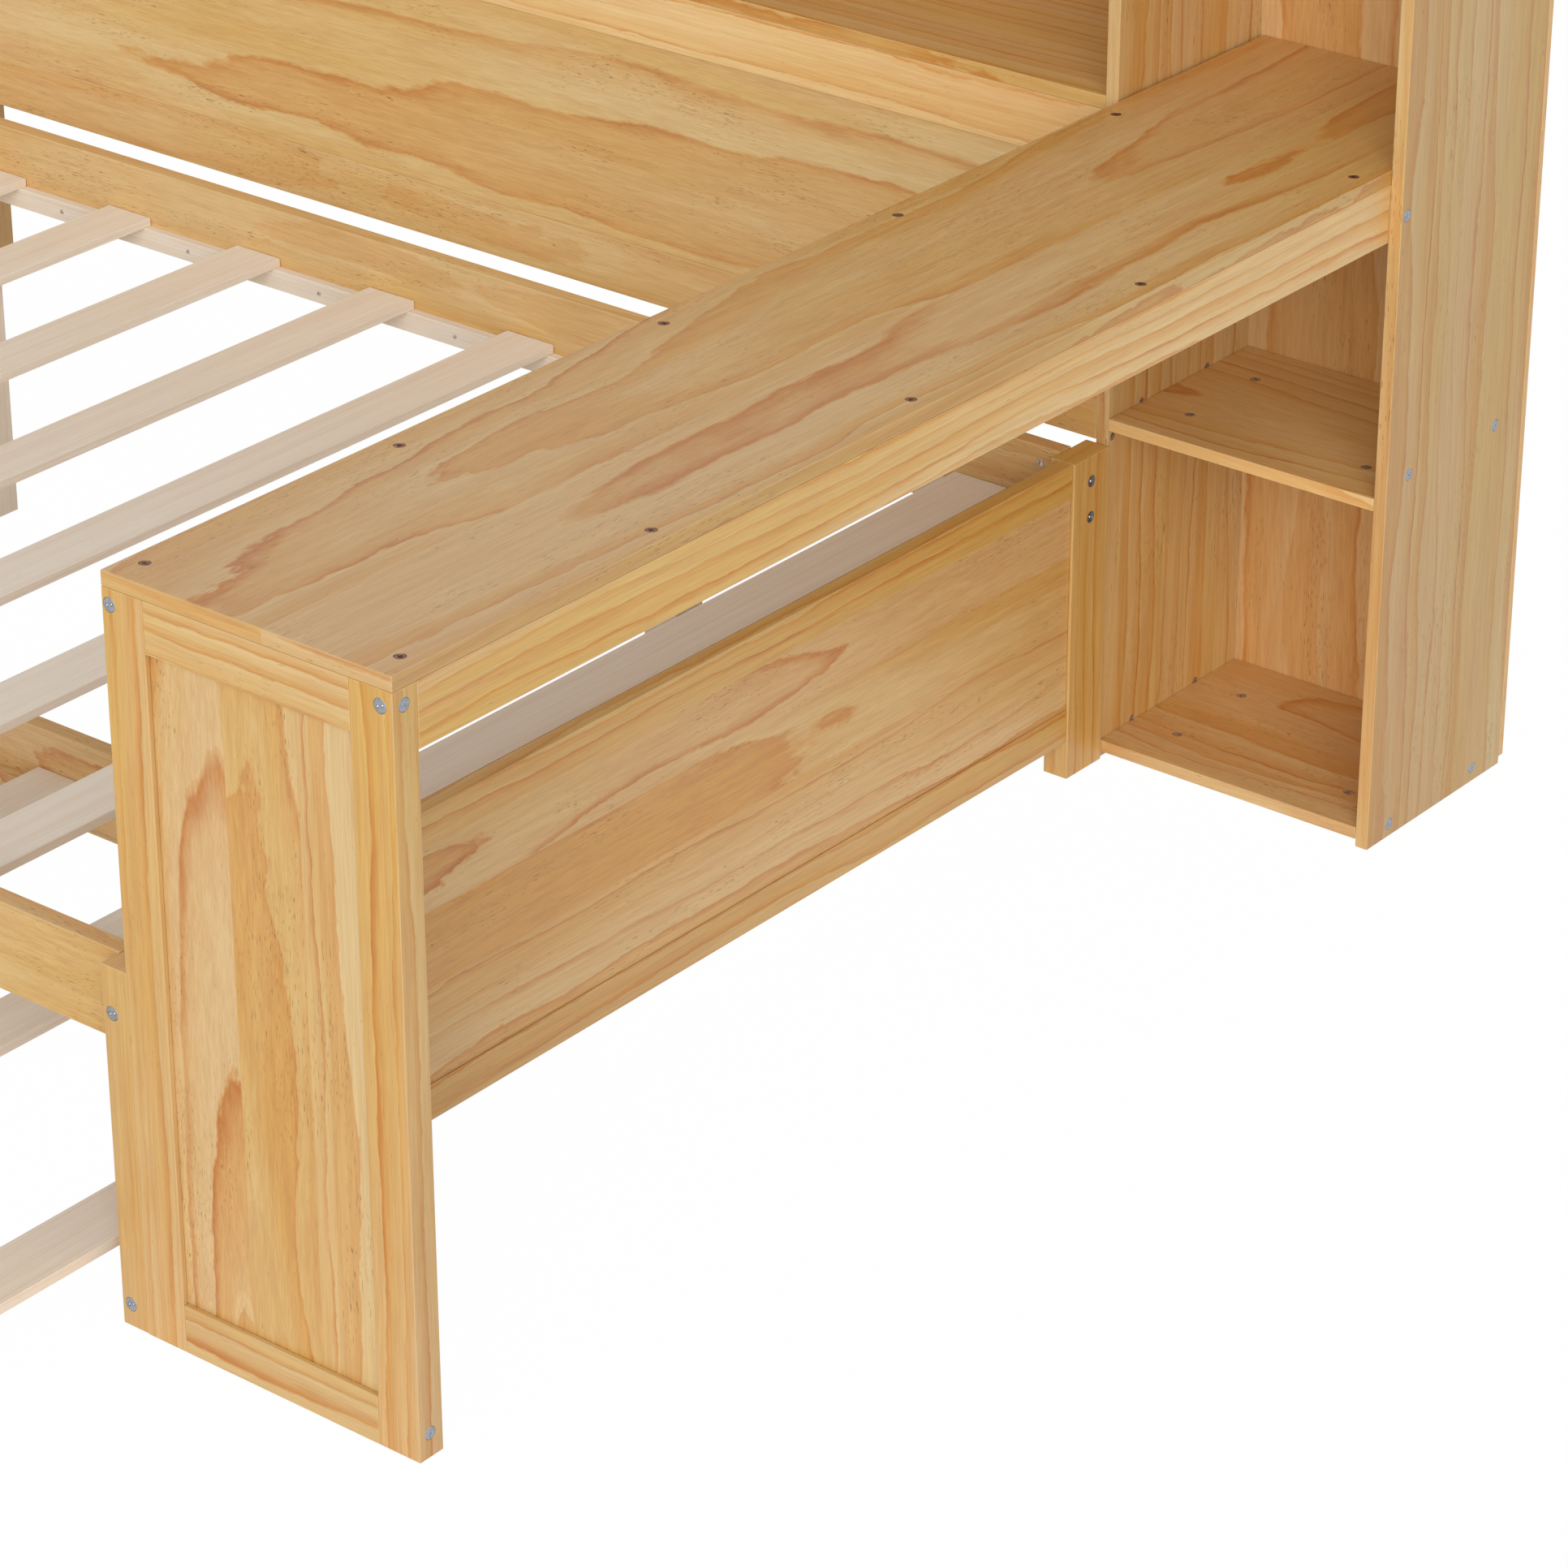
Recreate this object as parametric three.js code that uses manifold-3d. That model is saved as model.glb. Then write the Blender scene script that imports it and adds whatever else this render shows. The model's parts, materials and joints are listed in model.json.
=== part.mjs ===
// A pine daybed with a pull-out trundle, a bookcase along its back, and a long desk top across its right end.
// Sizes are in millimetres. X runs along the bed towards the desk, Y runs back towards the bookcase, and Z is up.
// Places are worked out from the front right floor corner of the desk leg. At the end the whole model moves, so
// that its origin is the middle of the floor under it.
import * as THREE from "three";
import { mergeVertices } from "three/addons/utils/BufferGeometryUtils.js";
import Module from "manifold-3d";

// Mattress spaces
const BED_CLEAR_LENGTH = 1945;
const BED_CLEAR_WIDTH = 1387.5;
const TRUNDLE_CLEAR_WIDTH = 1000;

// Gaps
const FIT = 0.2; // between two pieces that are fixed together
const GROOVE_FIT = 0.3; // all round a panel's edge in its groove
const WHEEL_FIT = 0.3; // between a wheel and its axle or bar
const GROOVE_OVERRUN = 1; // how far a groove's cut runs past the ends of its rail
const TRUNDLE_SIDE_GAP = 6; // between the trundle and the bed's posts
const DESK_TO_BED = 0.5; // the front post is bolted to the desk leg
const BED_TO_BOOKCASE = 0.5; // the back posts are bolted to the bookcase

// Bed ends
const POST_THICKNESS = 31;
const POST_WIDTH = 64;
const POST_HEIGHT = 373;
const POST_FRONT_SETBACK = 0.5; // behind the front face of the desk leg
const END_RAIL_THICKNESS = 18;
const END_RAIL_HEIGHT = 39;
const END_RAIL_SETBACK = 2; // behind the outer faces of the posts
const END_BOARD_LIFT = 44; // from the floor to the lower rail
const END_PANEL_THICKNESS = 10;
const END_PANEL_RECESS = 2; // behind the outer faces of the rails
const GROOVE_DEPTH = 6;

// Bed rails, slats and legs
const RAIL_THICKNESS = 20;
const RAIL_HEIGHT = 92;
const RAIL_TOP = 374;
const FRONT_RAIL_SETBACK = 23; // behind the front faces of the posts
const BACK_RAIL_SETBACK = 27; // before the back faces of the posts
const CLEAT_THICKNESS = 12;
const CLEAT_HEIGHT = 25;
const CLEAT_DROP = 70.5; // from the top of the rail to the top of the cleat
const CLEAT_END_GAP = 2;
const SLAT_COUNT = 9;
const SLAT_WIDTH = 70;
const SLAT_THICKNESS = 10.5;
const SLAT_SIDE_GAP = 1;
const SLAT_END_INSET = 103.5; // from the post to the middle of the first slat
const LEG_SIZE = 45;
const LEG_BACK_INSET = 226; // from the back rail to the back of the leg
const LEG_SLATS = [1, 6]; // the slats with a leg under them, counted from the right

// Desk
const DESK_HEIGHT = 762;
const DESK_TOP_THICKNESS = 15;
const DESK_WIDTH = 331;
const DESK_FRAME_THICKNESS = 30;
const APRON_HEIGHT = 62.5;
const DESK_STILE_WIDTH = 48;
const DESK_RAIL_TOP_HEIGHT = 50;
const DESK_RAIL_BOTTOM_HEIGHT = 50;
const DESK_PANEL_THICKNESS = 10;
const DESK_PANEL_RECESS = 6;

// Bookcase: a tower at the right, and a hutch over the back of the bed
const BOOKCASE_HEIGHT = 1180;
const BOOKCASE_BOARD_DEPTH = 263;
const BACK_THICKNESS = 8;
const BOOKCASE_TOP_THICKNESS = 15;
const TOWER_RIGHT_THICKNESS = 15;
const TOWER_LEFT_THICKNESS = 15.5;
const TOWER_CLEAR_WIDTH = 335;
const TOWER_SHELF_THICKNESS = 14;
const TOWER_BOTTOM_LIFT = 8.5;
const TOWER_MIDDLE_LIFT = 389.5;
const HUTCH_SIDE_THICKNESS = 15.5;
const HUTCH_SHELF_THICKNESS = 15;
const HUTCH_LIFT = 376; // from the floor to the hutch's lower front rail
const HUTCH_FRONT_THICKNESS = 18;
const HUTCH_RAIL_TOP_HEIGHT = 65;
const HUTCH_RAIL_BOTTOM_HEIGHT = 65;
const HUTCH_PANEL_THICKNESS = 10;
const HUTCH_PANEL_RECESS = 2;
const HUTCH_DIVIDER_THICKNESS = 14;

// Trundle
const TRUNDLE_PULLED_OUT = 380.5; // how far it stands out of its closed place
const TRUNDLE_RAIL_THICKNESS = 20;
const TRUNDLE_RAIL_HEIGHT = 105;
const TRUNDLE_LIFT = 15;
const TRUNDLE_SLAT_TOP = 73;
const TRUNDLE_SLAT_THICKNESS = 11;
const TRUNDLE_SLAT_WIDTH = 70;
const TRUNDLE_SLAT_PITCH = 332.7;
const TRUNDLE_SLAT_PAIRS = 3; // mirrored pairs, beside the one in the middle
const TRUNDLE_SLAT_END_GAP = 17;
const LEDGE_DEPTH = 20;
const LEDGE_HEIGHT = 25;
const WHEEL_RADIUS = 25;
const WHEEL_WIDTH = 18;
const WHEEL_RIM = 6;
const WHEEL_WEB_DEPTH = 4; // how deep each side is hollowed between hub and rim
const WHEEL_EDGE_EASE = 1.5; // the bevel along each edge of the tread
const HUB_RADIUS = 10;
const AXLE_RADIUS = 5;
const AXLE_HEAD_RADIUS = 8;
const AXLE_HEAD_THICKNESS = 3;
const WHEEL_TO_LEDGE = 3;
const AXLE_BAR_THICKNESS = 6;
const AXLE_BAR_BOTTOM = 19.5;
const AXLE_BAR_INSET = 59; // from the slat's outer edge to the bar
const FLANGE_WIDTH = 24;
const FLANGE_THICKNESS = 4;
const ROUND_SIDES = 24;

// Places along X
const bedRight = -(DESK_WIDTH + DESK_TO_BED);
const bedOuterLength = BED_CLEAR_LENGTH + 2 * (END_RAIL_SETBACK + END_RAIL_THICKNESS);
const bedLeft = bedRight - bedOuterLength;
const bedMiddle = (bedRight + bedLeft) / 2;
const railRight = bedRight - POST_THICKNESS;
const railLeft = bedLeft + POST_THICKNESS;
const towerRightInner = FIT;
const towerRight = towerRightInner + TOWER_RIGHT_THICKNESS;
const towerLeftInner = towerRightInner - TOWER_CLEAR_WIDTH;
const towerLeft = towerLeftInner - TOWER_LEFT_THICKNESS;
const hutchLeftInner = bedLeft + HUTCH_SIDE_THICKNESS;

// Places along Y
const postFront = POST_FRONT_SETBACK;
const frontRailInner = postFront + FRONT_RAIL_SETBACK + RAIL_THICKNESS;
const backRailInner = frontRailInner + BED_CLEAR_WIDTH;
const postBack = backRailInner + RAIL_THICKNESS + BACK_RAIL_SETBACK;
const endRailFront = postFront + POST_WIDTH;
const endRailBack = postBack - POST_WIDTH;
const bookcaseFront = postBack + BED_TO_BOOKCASE;
const bookcaseBoardBack = bookcaseFront + BOOKCASE_BOARD_DEPTH;
const bookcaseBack = bookcaseBoardBack + BACK_THICKNESS;

// Heights
const deskUnder = DESK_HEIGHT - DESK_TOP_THICKNESS;
const bookcaseUnderTop = BOOKCASE_HEIGHT - BOOKCASE_TOP_THICKNESS;
const hutchShelfTop = DESK_HEIGHT;
const hutchShelfUnder = hutchShelfTop - HUTCH_SHELF_THICKNESS;
const endPanelBottom = END_BOARD_LIFT + END_RAIL_HEIGHT;
const endPanelTop = POST_HEIGHT - END_RAIL_HEIGHT;
const cleatTop = RAIL_TOP - CLEAT_DROP;

const pine = { color: 0xd9ab68, roughness: 0.42, metalness: 0 };
const palePine = { color: 0xd3c0aa, roughness: 0.7, metalness: 0 };
const steel = { color: 0x8d8f92, roughness: 0.35, metalness: 1 };
const wheelPlastic = { color: 0x3a3a3c, roughness: 0.5, metalness: 0 };

const wasm = await Module();
wasm.setup();

// A closed geometry as a solid that can be joined and cut.
function toSolid(geometry) {
  const bare = geometry.clone();
  bare.deleteAttribute("normal");
  bare.deleteAttribute("uv");
  const merged = mergeVertices(bare);
  const vertProperties = merged.attributes.position.array;
  const triVerts = new Uint32Array(merged.index.array);
  return new wasm.Manifold(new wasm.Mesh({ numProp: 3, vertProperties, triVerts }));
}

// A solid as a geometry.
function toGeometry(solid) {
  const mesh = solid.getMesh();
  const geometry = new THREE.BufferGeometry();
  geometry.setAttribute("position", new THREE.BufferAttribute(new Float32Array(mesh.vertProperties), 3));
  geometry.setIndex(new THREE.BufferAttribute(new Uint32Array(mesh.triVerts), 1));
  geometry.computeVertexNormals();
  return geometry;
}

// A block between two values on each axis, such as [[0, 10], [0, 5], [0, 2]].
function block([x, y, z]) {
  const geometry = new THREE.BoxGeometry(x[1] - x[0], y[1] - y[0], z[1] - z[0]);
  return geometry.translate((x[0] + x[1]) / 2, (y[0] + y[1]) / 2, (z[0] + z[1]) / 2);
}

// Blocks joined into one solid, with other blocks cut away.
function carved(blocks, cuts) {
  let solid = toSolid(block(blocks[0]));
  for (const extra of blocks.slice(1)) solid = solid.add(toSolid(block(extra)));
  for (const cut of cuts) solid = solid.subtract(toSolid(block(cut)));
  return solid;
}

// Adds a mesh of its own material to a group.
function addMesh(group, name, look, geometry) {
  const mesh = new THREE.Mesh(geometry, new THREE.MeshStandardMaterial(look));
  mesh.name = name;
  group.add(mesh);
  return mesh;
}

// Adds a plain board.
function addBoard(group, name, look, x, y, z) {
  return addMesh(group, name, look, block([x, y, z]));
}

// Adds a board made of joined blocks, with grooves or notches cut from it.
function addCarved(group, name, look, blocks, cuts = []) {
  return addMesh(group, name, look, toGeometry(carved(blocks, cuts)));
}

// The two values, moved towards each other by a gap at each end.
function within([low, high], gap) {
  return [low + gap, high - gap];
}

// The two values, moved apart by a distance at each end.
function around([low, high], distance) {
  return [low - distance, high + distance];
}

// The pair with its lower value first.
function ordered(a, b) {
  return [Math.min(a, b), Math.max(a, b)];
}

// The X spans of one bed end: side is 1 at the right and -1 at the left.
function endSpans(side) {
  const outer = side > 0 ? bedRight : bedLeft;
  const railOuter = outer - side * END_RAIL_SETBACK;
  const panelOuter = railOuter - side * END_PANEL_RECESS;
  return {
    post: ordered(outer, outer - side * POST_THICKNESS),
    rail: ordered(railOuter, railOuter - side * END_RAIL_THICKNESS),
    panel: ordered(panelOuter, panelOuter - side * END_PANEL_THICKNESS),
  };
}

// The two posts of a bed end, each with a groove for the panel's edge.
function addPosts(group, side, name) {
  const spans = endSpans(side);
  const grooveX = around(spans.panel, GROOVE_FIT);
  const grooveZ = around([endPanelBottom, endPanelTop], GROOVE_DEPTH);
  const frontGroove = [grooveX, [endRailFront - GROOVE_DEPTH, endRailFront + GROOVE_DEPTH], grooveZ];
  const backGroove = [grooveX, [endRailBack - GROOVE_DEPTH, endRailBack + GROOVE_DEPTH], grooveZ];
  const height = [0, POST_HEIGHT];
  const front = [spans.post, [postFront, endRailFront], height];
  const back = [spans.post, [endRailBack, postBack], height];
  addCarved(group, `${name}_post_front`, pine, [front], [frontGroove]);
  addCarved(group, `${name}_post_back`, pine, [back], [backGroove]);
}

// The right bed end: two posts, two rails and a panel held in their grooves.
function makeRightEnd() {
  const group = new THREE.Group();
  const { rail, panel } = endSpans(1);
  const length = within([endRailFront, endRailBack], FIT);
  const groove = around([endPanelBottom, endPanelTop], GROOVE_DEPTH);
  const grooveCut = [around(panel, GROOVE_FIT), around(length, GROOVE_OVERRUN), groove];
  const upper = [rail, length, [endPanelTop, POST_HEIGHT]];
  const lower = [rail, length, [END_BOARD_LIFT, endPanelBottom]];
  const panelY = around([endRailFront, endRailBack], GROOVE_DEPTH - GROOVE_FIT);
  addPosts(group, 1, "end_right");
  addCarved(group, "end_right_rail_top", pine, [upper], [grooveCut]);
  addCarved(group, "end_right_rail_bottom", pine, [lower], [grooveCut]);
  addBoard(group, "end_right_panel", pine, panel, panelY, within(groove, GROOVE_FIT));
  return group;
}

// The left bed end: two posts, and rails and panel glued up as one board with a tongue in the posts' grooves.
function makeLeftEnd() {
  const group = new THREE.Group();
  const { rail, panel } = endSpans(-1);
  const length = within([endRailFront, endRailBack], FIT);
  const upper = [rail, length, [endPanelTop, POST_HEIGHT]];
  const lower = [rail, length, [END_BOARD_LIFT, endPanelBottom]];
  const panelY = around([endRailFront, endRailBack], GROOVE_DEPTH - GROOVE_FIT);
  const overlap = GROOVE_DEPTH - GROOVE_FIT;
  const middle = [panel, panelY, around([endPanelBottom, endPanelTop], overlap)];
  addPosts(group, -1, "end_left");
  addCarved(group, "end_left_board", pine, [upper, middle, lower]);
  return group;
}

// The X place of a bed slat's middle, counted from the right.
function slatMiddle(index) {
  const first = railRight - SLAT_END_INSET;
  const last = railLeft + SLAT_END_INSET;
  return first + ((last - first) * index) / (SLAT_COUNT - 1);
}

// The bed's long rails, the cleats on their inner faces, the slats on the cleats, and a leg under each of two slats,
// flush with the slat's left edge.
function makeBedBase() {
  const group = new THREE.Group();
  const railX = within([railLeft, railRight], FIT);
  const railZ = [RAIL_TOP - RAIL_HEIGHT, RAIL_TOP];
  const cleatX = within([railLeft, railRight], CLEAT_END_GAP);
  const cleatZ = [cleatTop - CLEAT_HEIGHT, cleatTop];
  const frontRail = [frontRailInner - RAIL_THICKNESS, frontRailInner];
  const backRail = [backRailInner, backRailInner + RAIL_THICKNESS];
  const frontCleat = [frontRailInner + FIT, frontRailInner + CLEAT_THICKNESS];
  const backCleat = [backRailInner - CLEAT_THICKNESS, backRailInner - FIT];
  addBoard(group, "bed_rail_front", pine, railX, frontRail, railZ);
  addBoard(group, "bed_rail_back", pine, railX, backRail, railZ);
  addBoard(group, "bed_cleat_front", palePine, cleatX, frontCleat, cleatZ);
  addBoard(group, "bed_cleat_back", palePine, cleatX, backCleat, cleatZ);
  const slatY = within([frontRailInner, backRailInner], SLAT_SIDE_GAP);
  const slatZ = [cleatTop + FIT, cleatTop + SLAT_THICKNESS];
  for (let index = 0; index < SLAT_COUNT; index += 1) {
    const slatX = around([slatMiddle(index), slatMiddle(index)], SLAT_WIDTH / 2);
    addBoard(group, `bed_slat_${index + 1}`, palePine, slatX, slatY, slatZ);
  }
  const legBack = backRailInner - LEG_BACK_INSET;
  LEG_SLATS.forEach((slat, index) => {
    const legLeft = slatMiddle(slat) - SLAT_WIDTH / 2;
    const legX = [legLeft, legLeft + LEG_SIZE];
    addBoard(group, `bed_leg_${index + 1}`, palePine, legX, [legBack - LEG_SIZE, legBack], [0, cleatTop]);
  });
  return group;
}

// The desk's leg: two stiles, two rails and a panel in their grooves.
function addDeskLeg(group) {
  const depth = [0, DESK_FRAME_THICKNESS];
  const height = [0, deskUnder - FIT];
  const leftStile = [-DESK_WIDTH, -DESK_WIDTH + DESK_STILE_WIDTH];
  const rightStile = [-DESK_STILE_WIDTH, 0];
  const between = [leftStile[1], rightStile[0]];
  const panelZ = [DESK_RAIL_BOTTOM_HEIGHT, deskUnder - DESK_RAIL_TOP_HEIGHT];
  const panelY = [DESK_PANEL_RECESS, DESK_PANEL_RECESS + DESK_PANEL_THICKNESS];
  const groove = [around(between, GROOVE_DEPTH), around(panelY, GROOVE_FIT), around(panelZ, GROOVE_DEPTH)];
  const panelReach = GROOVE_DEPTH - GROOVE_FIT;
  const railX = within(between, FIT);
  const upper = [railX, depth, [panelZ[1], height[1]]];
  const lower = [railX, depth, [0, panelZ[0]]];
  addCarved(group, "desk_stile_left", pine, [[leftStile, depth, height]], [groove]);
  addCarved(group, "desk_stile_right", pine, [[rightStile, depth, height]], [groove]);
  addCarved(group, "desk_rail_top", pine, [upper], [groove]);
  addCarved(group, "desk_rail_bottom", pine, [lower], [groove]);
  addBoard(group, "desk_panel", pine, around(between, panelReach), panelY, around(panelZ, panelReach));
}

// The desk: its leg, the aprons under its top, the cross rail that ties it to the tower, and the top itself, which
// runs on between the tower's sides as a shelf and ends flush with the tower's right side's inner face.
function makeDesk() {
  const group = new THREE.Group();
  const apronY = within([DESK_FRAME_THICKNESS, bookcaseFront], FIT);
  const apronZ = [deskUnder - APRON_HEIGHT, deskUnder - FIT];
  const leftApron = [-DESK_WIDTH, -DESK_WIDTH + DESK_FRAME_THICKNESS];
  const rightApron = [-DESK_FRAME_THICKNESS, 0];
  const crossX = within([towerLeftInner, towerRightInner], FIT);
  const crossY = [bookcaseFront, bookcaseFront + DESK_FRAME_THICKNESS];
  const topY = [0, bookcaseBoardBack - FIT];
  addDeskLeg(group);
  addBoard(group, "desk_apron_left", pine, leftApron, apronY, apronZ);
  addBoard(group, "desk_apron_right", pine, rightApron, apronY, apronZ);
  addBoard(group, "desk_cross_rail", pine, crossX, crossY, apronZ);
  addBoard(group, "desk_top", pine, [-DESK_WIDTH, 0], topY, [deskUnder, DESK_HEIGHT]);
  return group;
}

// The tower: two sides from the floor, two shelves under the desk top, and a back on their rear edges. Its right side
// stands outside the desk's right face.
function makeTower() {
  const group = new THREE.Group();
  const depth = [bookcaseFront, bookcaseBoardBack - FIT];
  const height = [0, bookcaseUnderTop - FIT];
  const shelfX = within([towerLeftInner, towerRightInner], FIT);
  const backX = [towerLeft, towerRight];
  const backZ = [TOWER_BOTTOM_LIFT, height[1]];
  const shelfAt = (lift) => [lift, lift + TOWER_SHELF_THICKNESS];
  addBoard(group, "tower_side_right", pine, [towerRightInner, towerRight], depth, height);
  addBoard(group, "tower_side_left", pine, [towerLeft, towerLeftInner], depth, height);
  addBoard(group, "tower_shelf_bottom", pine, shelfX, depth, shelfAt(TOWER_BOTTOM_LIFT));
  addBoard(group, "tower_shelf_middle", pine, shelfX, depth, shelfAt(TOWER_MIDDLE_LIFT));
  addBoard(group, "tower_back", pine, backX, [bookcaseBoardBack, bookcaseBack], backZ);
  return group;
}

// The hutch: a side from the floor at the left, a framed front under its shelf, a divider and a back.
function makeHutch() {
  const group = new THREE.Group();
  const depth = [bookcaseFront, bookcaseBoardBack - FIT];
  const inner = within([hutchLeftInner, towerLeft], FIT);
  const front = [bookcaseFront, bookcaseFront + HUTCH_FRONT_THICKNESS];
  const panelFace = bookcaseFront + HUTCH_PANEL_RECESS;
  const panelY = [panelFace, panelFace + HUTCH_PANEL_THICKNESS];
  const panelZ = [HUTCH_LIFT + HUTCH_RAIL_BOTTOM_HEIGHT, hutchShelfUnder - HUTCH_RAIL_TOP_HEIGHT];
  const groove = [around(inner, GROOVE_OVERRUN), around(panelY, GROOVE_FIT), around(panelZ, GROOVE_DEPTH)];
  const upper = [inner, front, [panelZ[1], hutchShelfUnder - FIT]];
  const lower = [inner, front, [HUTCH_LIFT, panelZ[0]]];
  const panelHeight = around(panelZ, GROOVE_DEPTH - GROOVE_FIT);
  const side = [bedLeft, hutchLeftInner];
  const backX = [bedLeft, towerLeft - FIT];
  const backZ = [HUTCH_LIFT, bookcaseUnderTop - FIT];
  const middle = (hutchLeftInner + towerLeft) / 2;
  const dividerX = around([middle, middle], HUTCH_DIVIDER_THICKNESS / 2);
  const dividerZ = within([hutchShelfTop, bookcaseUnderTop], FIT);
  addBoard(group, "hutch_side_left", pine, side, depth, [0, bookcaseUnderTop - FIT]);
  addCarved(group, "hutch_rail_top", pine, [upper], [groove]);
  addCarved(group, "hutch_rail_bottom", pine, [lower], [groove]);
  addBoard(group, "hutch_panel", pine, inner, panelY, panelHeight);
  addBoard(group, "hutch_shelf", pine, inner, depth, [hutchShelfUnder, hutchShelfTop]);
  addBoard(group, "hutch_divider", pine, dividerX, depth, dividerZ);
  addBoard(group, "hutch_back", pine, backX, [bookcaseBoardBack, bookcaseBack], backZ);
  return group;
}

// The one long board over tower and hutch.
function makeBookcaseTop() {
  const group = new THREE.Group();
  const height = [bookcaseUnderTop, BOOKCASE_HEIGHT];
  addBoard(group, "bookcase_top", pine, [bedLeft, towerRight], [bookcaseFront, bookcaseBack], height);
  return group;
}

// The trundle's spans in its closed place: its two rails' inner faces, and its ends.
const trundleFront = postFront;
const trundleFrontInner = trundleFront + TRUNDLE_RAIL_THICKNESS;
const trundleBackInner = trundleFrontInner + TRUNDLE_CLEAR_WIDTH;
const trundleBack = trundleBackInner + TRUNDLE_RAIL_THICKNESS;
const trundleEnds = within([railLeft, railRight], TRUNDLE_SIDE_GAP);
const trundleSlatUnder = TRUNDLE_SLAT_TOP - TRUNDLE_SLAT_THICKNESS;
const ledgeUnder = trundleSlatUnder - LEDGE_HEIGHT;
const ledgeGap = [trundleFrontInner + LEDGE_DEPTH, trundleBackInner - LEDGE_DEPTH];

// A trundle rail: a board with the ledge that carries the slats along its inner face.
function addTrundleRail(group, name, boardY, ledgeY) {
  const boardZ = [TRUNDLE_LIFT, TRUNDLE_LIFT + TRUNDLE_RAIL_HEIGHT];
  const rail = [trundleEnds, boardY, boardZ];
  const ledge = [trundleEnds, ledgeY, [ledgeUnder, trundleSlatUnder]];
  addCarved(group, name, pine, [rail, ledge]);
}

// The X places of the trundle's slats, from the right: pairs set in from each end, and one in the middle.
function trundleSlatMiddles() {
  const fromEnd = TRUNDLE_SLAT_END_GAP + TRUNDLE_SLAT_WIDTH / 2;
  const right = [];
  for (let pair = 0; pair < TRUNDLE_SLAT_PAIRS; pair += 1) {
    right.push(trundleEnds[1] - fromEnd - pair * TRUNDLE_SLAT_PITCH);
  }
  const left = right.map((x) => 2 * bedMiddle - x).reverse();
  return [...right, bedMiddle, ...left];
}

// A round bar along X, from one X place to another.
function roundBar(radius, [low, high], y, z) {
  const geometry = new THREE.CylinderGeometry(radius, radius, high - low, ROUND_SIDES);
  return geometry.rotateZ(Math.PI / 2).translate((low + high) / 2, y, z);
}

// The Y places of the wheels, as close to the ledges as they turn freely.
const wheelYs = within(ledgeGap, WHEEL_TO_LEDGE + WHEEL_RADIUS);

// A steel bar across one end of the trundle, on edge under the end slat. Its flange is screwed up into the slat, its
// two tabs carry the rails' ledges, and a stub axle with a head stands out of it for each wheel.
function addAxleBar(group, side, name) {
  const slatOuter = side > 0 ? trundleEnds[1] - TRUNDLE_SLAT_END_GAP : trundleEnds[0] + TRUNDLE_SLAT_END_GAP;
  const outer = slatOuter - side * AXLE_BAR_INSET;
  const inner = outer - side * AXLE_BAR_THICKNESS;
  const top = trundleSlatUnder - FIT;
  const webX = ordered(outer, inner);
  const flangeX = ordered(inner, inner + side * FLANGE_WIDTH);
  const web = [webX, within(ledgeGap, FIT), [AXLE_BAR_BOTTOM, top]];
  const tabs = [webX, within([trundleFrontInner, trundleBackInner], FIT), [AXLE_BAR_BOTTOM, ledgeUnder - FIT]];
  const flange = [flangeX, within(ledgeGap, FIT), [top - FLANGE_THICKNESS, top]];
  const wheelX = ordered(inner - side * WHEEL_FIT, inner - side * (WHEEL_FIT + WHEEL_WIDTH));
  const wheelInner = side > 0 ? wheelX[0] : wheelX[1];
  const headStart = wheelInner - side * WHEEL_FIT;
  const headEnd = headStart - side * AXLE_HEAD_THICKNESS;
  let solid = carved([web, tabs, flange], []);
  for (const y of wheelYs) {
    solid = solid.add(toSolid(roundBar(AXLE_RADIUS, ordered(outer, headEnd), y, WHEEL_RADIUS)));
    solid = solid.add(toSolid(roundBar(AXLE_HEAD_RADIUS, ordered(headStart, headEnd), y, WHEEL_RADIUS)));
  }
  addMesh(group, name, steel, toGeometry(solid));
  return (wheelX[0] + wheelX[1]) / 2;
}

// Half of a wheel's section as radius and place along the axle: hub, hollowed web, and tread with eased edges.
function wheelProfile() {
  const half = WHEEL_WIDTH / 2;
  const bore = AXLE_RADIUS + WHEEL_FIT;
  const rimInner = WHEEL_RADIUS - WHEEL_RIM;
  const ease = WHEEL_EDGE_EASE;
  const web = half - WHEEL_WEB_DEPTH;
  const points = [
    [bore, -half], [HUB_RADIUS, -half], [HUB_RADIUS, -web], [rimInner, -web], [rimInner, -half],
    [WHEEL_RADIUS - ease, -half], [WHEEL_RADIUS, ease - half], [WHEEL_RADIUS, half - ease],
    [WHEEL_RADIUS - ease, half], [rimInner, half], [rimInner, web], [HUB_RADIUS, web], [HUB_RADIUS, half],
    [bore, half], [bore, -half],
  ];
  return points.map(([radius, along]) => new THREE.Vector2(radius, along));
}

// A wheel that turns about X, with its tread on the floor.
function addWheel(group, name, x, y) {
  const geometry = new THREE.LatheGeometry(wheelProfile(), ROUND_SIDES).rotateZ(-Math.PI / 2);
  const wheel = addMesh(group, name, wheelPlastic, geometry);
  wheel.position.set(x, y, WHEEL_RADIUS);
}

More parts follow.
